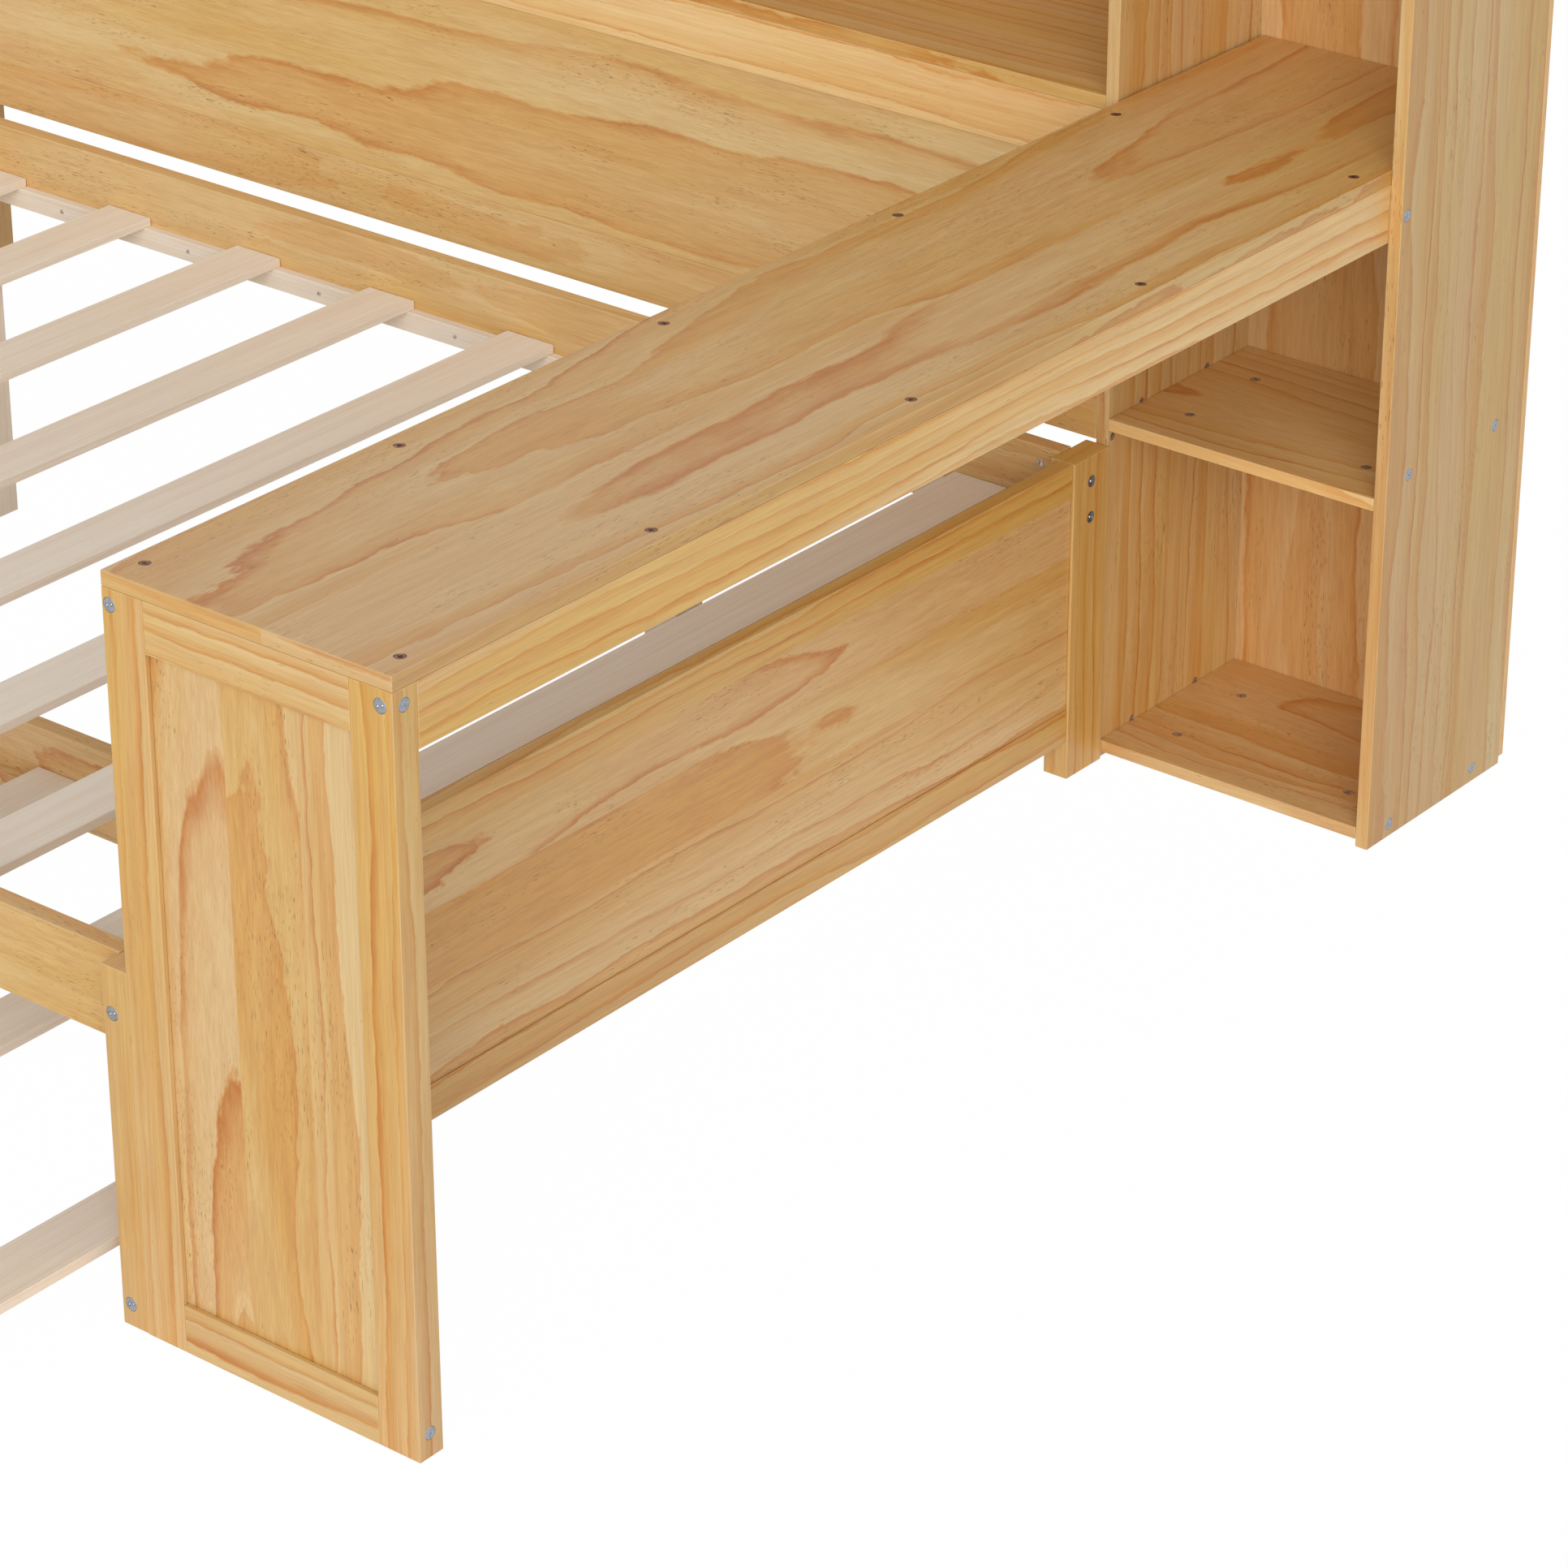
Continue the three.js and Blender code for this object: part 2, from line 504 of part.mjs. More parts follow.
// The trundle: two rails with ledges, slats, and a bar with two wheels at each end. It is built in its closed place
// and then moved out to where it stands.
function makeTrundle() {
  const group = new THREE.Group();
  const frontLedge = [trundleFront, ledgeGap[0]];
  const backLedge = [ledgeGap[1], trundleBack];
  addTrundleRail(group, "trundle_rail_front", [trundleFront, trundleFrontInner], frontLedge);
  addTrundleRail(group, "trundle_rail_back", [trundleBackInner, trundleBack], backLedge);
  const slatY = within([trundleFrontInner, trundleBackInner], SLAT_SIDE_GAP);
  const slatZ = [trundleSlatUnder + FIT, TRUNDLE_SLAT_TOP];
  trundleSlatMiddles().forEach((x, index) => {
    const slatX = around([x, x], TRUNDLE_SLAT_WIDTH / 2);
    addBoard(group, `trundle_slat_${index + 1}`, palePine, slatX, slatY, slatZ);
  });
  for (const [side, name] of [[1, "right"], [-1, "left"]]) {
    const x = addAxleBar(group, side, `trundle_axle_bar_${name}`);
    addWheel(group, `trundle_wheel_front_${name}`, x, wheelYs[0]);
    addWheel(group, `trundle_wheel_back_${name}`, x, wheelYs[1]);
  }
  group.position.y = -TRUNDLE_PULLED_OUT;
  return group;
}

const daybed = new THREE.Group();
daybed.add(makeBedBase(), makeRightEnd(), makeLeftEnd(), makeDesk(), makeTower(), makeHutch());
daybed.add(makeBookcaseTop(), makeTrundle());
const standFront = Math.min(0, trundleFront - TRUNDLE_PULLED_OUT);
daybed.position.set(-(bedLeft + towerRight) / 2, -(standFront + bookcaseBack) / 2, 0);

export default daybed;
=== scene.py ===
"""The looks of a pine daybed with a trundle, a bookcase along its back and a desk across its right end.

Every board is sawn from a log of its own. Its mesh carries its points' places in that log, and the wood
finishes work rings, fibres and resin flecks out from them, so that the figure runs round a board's edges as
it does in real timber. Lengths are in metres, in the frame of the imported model.
"""
import json
import logging
import math
import random
from collections.abc import Sequence
from dataclasses import astuple, dataclass, replace
from enum import Enum

import bmesh
import bpy
import numpy as np
from mathutils import Matrix, Vector

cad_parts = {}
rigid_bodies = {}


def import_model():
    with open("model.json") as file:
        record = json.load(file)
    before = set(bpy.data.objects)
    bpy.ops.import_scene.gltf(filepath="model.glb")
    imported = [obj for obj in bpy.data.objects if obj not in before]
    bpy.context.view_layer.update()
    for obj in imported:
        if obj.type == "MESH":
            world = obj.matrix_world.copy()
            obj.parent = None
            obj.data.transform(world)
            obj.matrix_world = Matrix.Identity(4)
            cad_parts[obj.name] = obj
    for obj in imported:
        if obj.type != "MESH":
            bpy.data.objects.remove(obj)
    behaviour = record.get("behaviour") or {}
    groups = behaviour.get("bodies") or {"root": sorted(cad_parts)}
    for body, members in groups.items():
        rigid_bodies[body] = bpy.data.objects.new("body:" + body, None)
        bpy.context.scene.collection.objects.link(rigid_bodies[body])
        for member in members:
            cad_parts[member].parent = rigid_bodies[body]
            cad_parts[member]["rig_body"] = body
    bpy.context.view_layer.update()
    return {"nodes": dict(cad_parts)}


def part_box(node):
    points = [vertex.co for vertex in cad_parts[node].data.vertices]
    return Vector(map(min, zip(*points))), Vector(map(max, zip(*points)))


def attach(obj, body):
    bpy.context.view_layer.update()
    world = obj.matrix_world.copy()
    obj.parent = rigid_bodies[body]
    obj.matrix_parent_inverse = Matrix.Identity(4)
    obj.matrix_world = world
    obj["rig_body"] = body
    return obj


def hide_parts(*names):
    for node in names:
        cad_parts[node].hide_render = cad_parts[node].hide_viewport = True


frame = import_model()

Colour = tuple[float, float, float, float]
Scale = tuple[float, float, float]
Value = bpy.types.NodeSocket | float | tuple[float, ...]

REPORT = logging.getLogger("daybed")
MM = 0.001
LOG_PLACE = "log_place"  # the mesh attribute that holds a point's place in its log
BOARD_TONE_AND_SHADE = "board_tone"  # the mesh attribute that holds how warm and how pink the wood is, and how much darker: random darkness and painted shade
ARRIS = "arris"  # the mesh attribute that is 1 on eased edges
LOG_LENGTH = 5.0  # logs lie end to end, and a board never runs from one into the next
X_AXIS, Y_AXIS = 0, 1
MERGE_DISTANCE = 1e-6  # points nearer than this become one
FLAT_ANGLE = math.radians(1)  # faces that meet at less than this become one
SHARP_ANGLE = math.radians(30)  # edges sharper than this are eased, or shaded sharp
FACING_SHARE = 0.9  # a face looks along an axis if more than this share of its normal does
EASED_SHARE = 0.995  # a face is part of an eased edge if no axis has this share of its normal
ROUND = 0.5  # the profile of a round bevel
CLEAT_EASE, SLAT_EASE, BOARD_EASE = 0.6 * MM, 0.7 * MM, 0.8 * MM  # how wide boards' edges are rounded
SIDE_EASE, RAIL_EASE, TOP_EASE = 0.9 * MM, 1.0 * MM, 1.2 * MM
EASE_STEPS, CROWN_STEPS = 2, 3  # how many faces round a board's edge and a fastener's rim
POCKET_SIDES, HEAD_SIDES, HOLLOW_SIDES = 32, 40, 24
PIN_SIDES, PIN_ROWS = 16, 8
POCKET_GAP = 0.2 * MM  # the gap round a sunk head
HEAD_LIFT = 0.05 * MM  # how much higher than its sink a head lies, clear of its pocket's floor
SLOT_SHARE = 0.24  # how wide a slot is, as a share of its length
BLACK, WHITE = (0.0, 0.0, 0.0, 1.0), (1.0, 1.0, 1.0, 1.0)

# How often each noise repeats in a metre along a log, across it and through it.
SWAY_SCALE = (3.2, 13, 13)
JAG_SCALE = (24, 60, 60)
FADE_SCALE = (4, 24, 24)
FINE_PATCH_SCALE = (2, 17, 17)
DRIFT_SCALE = (1.1, 12, 12)
FINE_FIBRE_SCALE = (16, 620, 620)
BROAD_FIBRE_SCALE = (5, 130, 130)
DASH_SCALE = (85, 1150, 1150)
DASH_PATCH_SCALE = (5, 22, 22)
WEAR_AND_HIGHLIGHT_SCALE = (30, 200, 200)
YEARS_SCALE = (0.42, 1, 1)  # this one repeats in a ring, and jumps from log to log
ZONE_SCALE = (1.3, 0.42, 5)  # this one repeats in a metre along a log, in a ring and in a metre through it

# How often the marks on metal and plastic repeat in a metre along each axis.
SCRATCH_SCALE = (2400, 300, 300)
SPOT_SCALE = (260, 260, 260)

# How surfaces take wear and painted edge highlights, varnish and light.
NOISE_LOW, NOISE_HIGH = 0.3, 0.7  # nearly all of a noise lies between these
SPOT_START, SPOT_END = 0.4, 0.65  # the noise at which a dull spot starts, and at which it is whole
WORN_AND_HIGHLIT_SHARE = 0.5  # how far an eased edge turns to its lighter colour: wear, and a painted highlight
STREAK_ROUGHNESS = 0.05  # how much rougher or smoother a streak can be
SCRATCH_SMOOTHER, SCRATCH_ROUGHER = 0.06, 0.1  # how much smoother and rougher scratches can be
VARNISH_ROUGHNESS = 0.28
LINE_SINK = 0.3  # how deep late wood lies, as a share of the grain's depth
GRAIN_BUMP, SCRATCH_BUMP = 0.35, 0.3  # how strongly grain and scratches show as bumps


def linear(code: str) -> Colour:
    """Turns a written colour into the numbers that a shader takes, by the sRGB curve.

    Args:
        code: six hexadecimal digits, two each for red, green and blue.

    Returns:
        The linear colour, with an alpha of 1.
    """
    shares = [int(code[i:i + 2], 16) / 255 for i in (0, 2, 4)]
    values = [c / 12.92 if c <= 0.04045 else ((c + 0.055) / 1.055) ** 2.4 for c in shares]
    return values[0], values[1], values[2], 1.0


class Wiring:
    """Adds nodes to one node tree and joins them by short calls."""

    def __init__(self, tree: bpy.types.NodeTree) -> None:
        """Keeps the tree that the nodes go in."""
        self.tree = tree

    def node(self, kind: str, **settings: object) -> bpy.types.Node:
        """Adds a node.

        Args:
            kind: Blender's name for the kind of node.
            **settings: the node's own settings.

        Returns:
            The new node.
        """
        made = self.tree.nodes.new(kind)
        for name, value in settings.items():
            setattr(made, name, value)
        return made

    def feed(self, socket: bpy.types.NodeSocket, value: Value) -> None:
        """Links an output to a socket, or sets the socket's own value.

        Args:
            socket: the input that is fed.
            value: an output socket, or a number or colour.
        """
        if isinstance(value, bpy.types.NodeSocket):
            self.tree.links.new(value, socket)
        else:
            socket.default_value = value

    def math(self, operation: str, *values: Value) -> bpy.types.NodeSocket:
        """Works a number out from others.

        Args:
            operation: Blender's name for how.
            *values: what it works on, in order.

        Returns:
            The result's socket.
        """
        made = self.node("ShaderNodeMath", operation=operation)
        for socket, value in zip(made.inputs, values):
            self.feed(socket, value)
        return made.outputs[0]

    def product(self, first: Value, *others: Value) -> Value:
        """Multiplies numbers, from left to right."""
        for other in others:
            first = self.math("MULTIPLY", first, other)
        return first

    def split(self, vector: Value) -> tuple[bpy.types.NodeSocket, ...]:
        """Gives the three parts of a place or another vector."""
        made = self.node("ShaderNodeSeparateXYZ")
        self.feed(made.inputs[0], vector)
        return tuple(made.outputs)

    def joined(self, *parts: Value) -> bpy.types.NodeSocket:
        """Makes a place of up to three numbers."""
        made = self.node("ShaderNodeCombineXYZ")
        for socket, value in zip(made.inputs, parts):
            self.feed(socket, value)
        return made.outputs[0]

    def chance(self, number: Value) -> bpy.types.NodeSocket:
        """Gives each number a random one from 0 to 1, the same in every run."""
        made = self.node("ShaderNodeTexWhiteNoise", noise_dimensions="1D")
        self.feed(made.inputs["W"], number)
        return made.outputs["Value"]

    def noise(self, place: Value, scale: Scale, detail: float,
              roughness: float = 0.5) -> bpy.types.NodeSocket:
        """Adds smooth noise.

        Args:
            place: where it is read.
            scale: how often it repeats along each axis of the place.
            detail: how many finer layers it has.
            roughness: how strong the finer layers are.

        Returns:
            The socket of its strength, from 0 to 1.
        """
        stretched = self.node("ShaderNodeVectorMath", operation="MULTIPLY")
        self.feed(stretched.inputs[0], place)
        self.feed(stretched.inputs[1], scale)
        made = self.node("ShaderNodeTexNoise", noise_dimensions="3D")
        self.feed(made.inputs["Vector"], stretched.outputs["Vector"])
        self.feed(made.inputs["Scale"], 1.0)
        self.feed(made.inputs["Detail"], detail)
        self.feed(made.inputs["Roughness"], roughness)
        return made.outputs["Fac"]

    def ease(self, value: Value, low: Value, high: Value, to_low: Value = 0.0, to_high: Value = 1.0,
             shape: str = "SMOOTHSTEP") -> bpy.types.NodeSocket:
        """Maps one range on another.

        Args:
            value: the number to map.
            low: the range's start.
            high: the range's end.
            to_low: what the start becomes.
            to_high: what the end becomes.
            shape: Blender's name for how it runs between them.

        Returns:
            The mapped number's socket.
        """
        made = self.node("ShaderNodeMapRange", interpolation_type=shape)
        for socket, given in zip(made.inputs, (value, low, high, to_low, to_high)):
            self.feed(socket, given)
        return made.outputs["Result"]

    def mix(self, share: Value, first: Value, second: Value, blend: str = "MIX") -> bpy.types.NodeSocket:
        """Mixes two colours.

        Args:
            share: how much of the second colour there is.
            first: the first colour.
            second: the second colour.
            blend: Blender's name for how they mix.

        Returns:
            The mixed colour's socket.
        """
        made = self.node("ShaderNodeMix", data_type="RGBA", blend_type=blend)
        factor, first_colour, second_colour = made.inputs[0], made.inputs[6], made.inputs[7]
        self.feed(factor, share)
        self.feed(first_colour, first)
        self.feed(second_colour, second)
        return made.outputs[2]

    def bump(self, height: Value, strength: float, distance: float) -> bpy.types.NodeSocket:
        """Turns heights into a bumpy surface.

        Args:
            height: how high each point lies, from 0 to 1.
            strength: how strongly the bumps show.
            distance: how high a height of 1 is.

        Returns:
            The socket of the way the surface looks.
        """
        made = self.node("ShaderNodeBump")
        made.inputs["Strength"].default_value = strength
        made.inputs["Distance"].default_value = distance
        self.feed(made.inputs["Height"], height)
        return made.outputs["Normal"]

    def attribute(self, name: str, output: str) -> bpy.types.NodeSocket:
        """Reads a mesh attribute."""
        return self.node("ShaderNodeAttribute", attribute_name=name).outputs[output]

    def effect(self, group: bpy.types.NodeTree, **values: Value) -> bpy.types.Node:
        """Places an effect's node group.

        Args:
            group: the effect.
            **values: what goes in each of its sockets, by name.

        Returns:
            The group's node.
        """
        made = self.node("ShaderNodeGroup", node_tree=group)
        for name, value in values.items():
            self.feed(made.inputs[name], value)
        return made


class Effect(Wiring):
    """A shader node group that several materials share."""

    def __init__(self, name: str) -> None:
        """Starts an empty group."""
        super().__init__(bpy.data.node_groups.new(name, "ShaderNodeTree"))
        self.entry = self.node("NodeGroupInput")
        self.exit = self.node("NodeGroupOutput")

    def takes(self, name: str, default: float = 0.0) -> bpy.types.NodeSocket:
        """Adds an input that takes a number."""
        socket = self.tree.interface.new_socket(name=name, in_out="INPUT", socket_type="NodeSocketFloat")
        socket.default_value = default
        return self.entry.outputs[name]

    def takes_place(self, name: str) -> bpy.types.NodeSocket:
        """Adds an input that takes a place."""
        self.tree.interface.new_socket(name=name, in_out="INPUT", socket_type="NodeSocketVector")
        return self.entry.outputs[name]

    def gives(self, name: str, value: bpy.types.NodeSocket) -> None:
        """Adds an output that gives a number."""
        self.tree.interface.new_socket(name=name, in_out="OUTPUT", socket_type="NodeSocketFloat")
        self.tree.links.new(value, self.exit.inputs[name])


def growth_rings() -> bpy.types.NodeTree:
    """Builds the rings of a log: dark late wood that starts softly and ends at a crisp line.

    Returns:
        The node group. Late is how dark late wood makes a point, Phase how far through its ring the point
        lies, Year how strong that ring's line is, Gold how golden the ring's wood is, Pink a slow change of
        colour that keeps to the rings, and Fine the narrow rings between the strong ones.
    """
    line_place, line_end = 0.95, 0.995  # how far through a ring its line is darkest, and where it has ended
    unevenness = 2.1  # how far good and bad years move the rings, in rings
    fine_rings = 4.3  # how many fine rings there are to a strong one
    e = Effect("growth_rings")
    place = e.takes_place("Place")
    width = e.takes("Width", 0.02)
    wander = e.takes("Wander", 1.0)
    wiggle = e.takes("Wiggle", 0.2)
    late_share = e.takes("LateShare", 0.4)
    along, across, deep = e.split(place)
    square = e.math("ADD", e.product(across, across), e.product(deep, deep))
    radius = e.math("DIVIDE", e.math("SQRT", square), width)
    sway = e.math("SUBTRACT", e.noise(place, SWAY_SCALE, 1), 0.5)
    jag = e.math("SUBTRACT", e.noise(place, JAG_SCALE, 3, 0.6), 0.5)
    bent = e.math("MULTIPLY_ADD", jag, wiggle, e.math("MULTIPLY_ADD", sway, wander, radius))
    log_number = e.math("FLOOR", e.math("DIVIDE", along, LOG_LENGTH))
    years = e.noise(e.joined(bent, log_number), YEARS_SCALE, 1)
    uneven = e.math("MULTIPLY_ADD", years, unevenness, bent)
    phase = e.math("FRACT", uneven)
    ring_number = e.math("FLOOR", uneven)
    late_start = e.math("SUBTRACT", line_place, late_share)
    soft = e.math("POWER", e.ease(phase, late_start, line_place, shape="LINEAR"), 1.4)
    crisp = e.ease(phase, line_place, line_end, to_low=1.0, to_high=0.0)
    fading = e.ease(e.noise(place, FADE_SCALE, 1), 0.3, 0.62, to_low=0.35)
    fine = e.math("POWER", e.math("FRACT", e.product(uneven, fine_rings)), 1.5)
    fine_patches = e.ease(e.noise(place, FINE_PATCH_SCALE, 1), 0.36, 0.62)
    zone = e.noise(e.joined(along, uneven, deep), ZONE_SCALE, 1)
    filling = e.ease(phase, 0.0, 0.55, to_low=0.25)
    golden = e.ease(e.chance(e.math("ADD", ring_number, 0.5)), 0.5, 0.9)
    e.gives("Late", e.product(soft, crisp, fading))
    e.gives("Phase", phase)
    e.gives("Year", e.ease(e.chance(ring_number), 0.2, 0.95))
    e.gives("Pink", e.ease(zone, 0.5, 0.66))
    e.gives("Gold", e.product(filling, crisp, golden))
    e.gives("Fine", e.product(fine, fine_patches))
    return e.tree


def colour_drift() -> bpy.types.NodeTree:
    """Builds the slow change of colour along and across a log.

    Returns:
        The node group. Warmth is how golden the wood is. Tone makes a whole board paler or more golden.
    """
    pale_middle, golden_change = 0.7, -0.4  # the noise that gives mid colour, and what a golden board adds
    spread = 0.2  # how far from it the noise gives the palest and the most golden wood
    e = Effect("colour_drift")
    place = e.takes_place("Place")
    tone = e.takes("Tone", 0.5)
    slow = e.noise(place, DRIFT_SCALE, 2, 0.55)
    middle = e.math("MULTIPLY_ADD", tone, golden_change, pale_middle)
    e.gives("Warmth", e.ease(slow, e.math("SUBTRACT", middle, spread), e.math("ADD", middle, spread)))
    return e.tree


def wood_fibres() -> bpy.types.NodeTree:
    """Builds the fine streaks of the fibres.

    Returns:
        The node group. Streaks is how light a streak is.
    """
    fine_share = 0.55  # how much of the streaks is fine ones
    e = Effect("wood_fibres")
    place = e.takes_place("Place")
    fine = e.noise(place, FINE_FIBRE_SCALE, 2, 0.6)
    broad = e.noise(place, BROAD_FIBRE_SCALE, 2, 0.6)
    both = e.math("ADD", e.product(fine, fine_share), e.product(broad, 1 - fine_share))
    e.gives("Streaks", e.ease(both, NOISE_LOW, NOISE_HIGH))
    return e.tree


def resin_flecks() -> bpy.types.NodeTree:
    """Builds the short dark dashes of resin canals, which come in patches.

    Returns:
        The node group. Flecks is 1 in a dash.
    """
    bare_level, patch_change = 0.84, -0.13  # the noise at which a dash starts, and what patches add to that
    softness = 0.08  # how much more noise makes the dash whole
    e = Effect("resin_flecks")
    place = e.takes_place("Place")
    amount = e.takes("Amount", 0.5)
    dashes = e.noise(place, DASH_SCALE, 0)
    patches = e.ease(e.noise(place, DASH_PATCH_SCALE, 1), 0.4, 0.64)
    level = e.math("MULTIPLY_ADD", e.product(patches, amount), patch_change, bare_level)
    e.gives("Flecks", e.ease(dashes, level, e.math("ADD", level, softness)))
    return e.tree


def edge_wear_and_highlight() -> bpy.types.NodeTree:
    """Builds the lighter look of eased edges, broken up along their length: part wear, part painted
    highlight where the rounding catches the light.

    Returns:
        The node group. WearAndHighlight is how much a point is lightened, by wear and by painted highlight.
    """
    e = Effect("edge_wear_and_highlight")
    place = e.takes_place("Place")
    edge = e.takes("Edge")
    broken = e.ease(e.noise(place, WEAR_AND_HIGHLIGHT_SCALE, 2), 0.35, 0.6, to_low=0.5)
    e.gives("WearAndHighlight", e.product(edge, broken))
    return e.tree


def brushed_lines() -> bpy.types.NodeTree:
    """Builds the fine scratches and dull spots of handled metal or plastic.

    Returns:
        The node group. Scratches is how high a point lies, and Spots how dull it is.
    """
    e = Effect("brushed_lines")
    place = e.takes_place("Place")
    e.gives("Scratches", e.noise(place, SCRATCH_SCALE, 2))
    e.gives("Spots", e.noise(place, SPOT_SCALE, 2))
    return e.tree


class Workshop:
    """Holds the effects and the materials, and makes each material once."""

    def __init__(self) -> None:
        """Builds the effects that the finishes share."""
        self.rings = growth_rings()
        self.drift = colour_drift()
        self.fibres = wood_fibres()
        self.flecks = resin_flecks()
        self.wear_and_highlight = edge_wear_and_highlight()
        self.brushing = brushed_lines()
        self._materials: dict[str, bpy.types.Material] = {}

    def material(self, finish: "WoodFinish | HardFinish") -> bpy.types.Material:
        """Gives a finish's material, made on its first use."""
        if finish.name not in self._materials:
            made = bpy.data.materials.new(finish.name)
            made.use_nodes = True
            finish.dress(made, self)
            self._materials[finish.name] = made
        return self._materials[finish.name]


@dataclass(frozen=True)
class WoodFinish:
    """A wood and its surface.

    Attributes:
        name: the material's name.
        slot: the record's material slot. Not used.
        pale: the colour of early wood in a pale board.
        golden: its colour in a golden one.
        blush: the colour of the pinker zones.
        glow: the colour just before late wood.
        late: the colour of late wood.
        fleck: the colour of resin flecks.
        arris: the colour of eased edges.
        ring_width: how far apart the rings are.
        wander: how far the rings sway, in rings.
        wiggle: how far they jag, in rings.
        late_share: how much of a ring is late wood.
        line_strength: how strongly late wood shows.
        least_line: how strongly the faintest ring shows, as a share of the strongest.
        glow_strength: how strongly a ring warms before its late wood.
        pink_strength: how strongly the pinker zones show.
        gold_strength: how strongly the more golden zones show.
        fine_strength: how strongly the fine lines between the rings show.
        fibre_strength: how strongly the fibres show.
        fleck_amount: how many resin flecks there are.
        fleck_strength: how strongly they show.
        roughness: how rough the surface is.
        varnish: how much clear varnish lies on it.
        relief: how deep the grain is.
    """

    name: str
    slot: str
    pale: str
    golden: str
    blush: str
    glow: str
    late: str
    fleck: str
    arris: str
    ring_width: float
    wander: float
    wiggle: float
    late_share: float
    line_strength: float
    least_line: float
    glow_strength: float
    pink_strength: float
    gold_strength: float
    fine_strength: float
    fibre_strength: float
    fleck_amount: float
    fleck_strength: float
    roughness: float
    varnish: float
    relief: float

    def dress(self, material: bpy.types.Material, workshop: Workshop) -> None:
        """Wires the material.

        Args:
            material: an empty material with nodes.
            workshop: holds the effects.
        """
        w = Wiring(material.node_tree)
        surface = material.node_tree.nodes["Principled BSDF"]
        place = w.attribute(LOG_PLACE, "Vector")
        rings = w.effect(workshop.rings, Place=place, Width=self.ring_width, Wander=self.wander,
                         Wiggle=self.wiggle, LateShare=self.late_share)
        warmth, pinkness, darkness_and_shade = w.split(w.attribute(BOARD_TONE_AND_SHADE, "Vector"))
        drift = w.effect(workshop.drift, Place=place, Tone=warmth)
        fibres = w.effect(workshop.fibres, Place=place)
        flecks = w.effect(workshop.flecks, Place=place, Amount=self.fleck_amount)
        wear_and_highlight = w.effect(workshop.wear_and_highlight, Place=place, Edge=w.attribute(ARRIS, "Fac"))
        year = w.math("MULTIPLY_ADD", rings.outputs["Year"], 1 - self.least_line, self.least_line)
        warming = w.product(w.math("POWER", rings.outputs["Phase"], 2.0), year)
        colour = w.mix(drift.outputs["Warmth"], linear(self.pale), linear(self.golden))
        for share, strength, tint in (
                (pinkness, 1.0, self.blush),
                (rings.outputs["Pink"], self.pink_strength, self.blush),
                (rings.outputs["Gold"], self.gold_strength, self.glow),
                (rings.outputs["Fine"], self.fine_strength, self.glow),
                (warming, self.glow_strength, self.glow)):
            colour = w.mix(w.product(share, strength), colour, linear(tint))
        line = w.product(rings.outputs["Late"], year, self.line_strength)
        colour = w.mix(line, colour, linear(self.late))
        colour = w.mix(self.fibre_strength, colour, fibres.outputs["Streaks"], "SOFT_LIGHT")
        colour = w.mix(w.product(flecks.outputs["Flecks"], self.fleck_strength), colour, linear(self.fleck))
        # eased edges turn towards the arris colour: wear, and a painted highlight
        colour = w.mix(w.product(wear_and_highlight.outputs["WearAndHighlight"], WORN_AND_HIGHLIT_SHARE), colour, linear(self.arris))
        # darkens towards black: the wood's random darkness, and painted shade where a board or face gets
        # less light
        colour = w.mix(darkness_and_shade, colour, BLACK)
        w.feed(surface.inputs["Base Color"], colour)
        smoothest, roughest = self.roughness - STREAK_ROUGHNESS, self.roughness + STREAK_ROUGHNESS
        rough = w.ease(fibres.outputs["Streaks"], 0.0, 1.0, smoothest, roughest)
        w.feed(surface.inputs["Roughness"], rough)
        surface.inputs["Coat Weight"].default_value = self.varnish
        surface.inputs["Coat Roughness"].default_value = VARNISH_ROUGHNESS
        height = w.math("SUBTRACT", fibres.outputs["Streaks"], w.product(line, LINE_SINK))
        w.feed(surface.inputs["Normal"], w.bump(height, GRAIN_BUMP, self.relief))


@dataclass(frozen=True)
class HardFinish:
    """A metal or a moulded plastic.

    Attributes:
        name: the material's name.
        slot: the record's material slot. Not used.
        colour: its colour.
        dull: the colour of its dull spots.
        metal: 1 for metal, and 0 for plastic.
        roughness: how rough it is.
        relief: how deep its scratches are.
    """

    name: str
    slot: str
    colour: str
    dull: str
    metal: float
    roughness: float
    relief: float

    def dress(self, material: bpy.types.Material, workshop: Workshop) -> None:
        """Wires the material.

        Args:
            material: an empty material with nodes.
            workshop: holds the effects.
        """
        w = Wiring(material.node_tree)
        surface = material.node_tree.nodes["Principled BSDF"]
        place = w.node("ShaderNodeTexCoord").outputs["Object"]
        brushing = w.effect(workshop.brushing, Place=place)
        spots = w.ease(brushing.outputs["Spots"], SPOT_START, SPOT_END)
        w.feed(surface.inputs["Base Color"], w.mix(spots, linear(self.colour), linear(self.dull)))
        smoothest, roughest = self.roughness - SCRATCH_SMOOTHER, self.roughness + SCRATCH_ROUGHER
        rough = w.ease(brushing.outputs["Scratches"], NOISE_LOW, NOISE_HIGH, smoothest, roughest)
        w.feed(surface.inputs["Roughness"], rough)
        surface.inputs["Metallic"].default_value = self.metal
        w.feed(surface.inputs["Normal"], w.bump(brushing.outputs["Scratches"], SCRATCH_BUMP, self.relief))


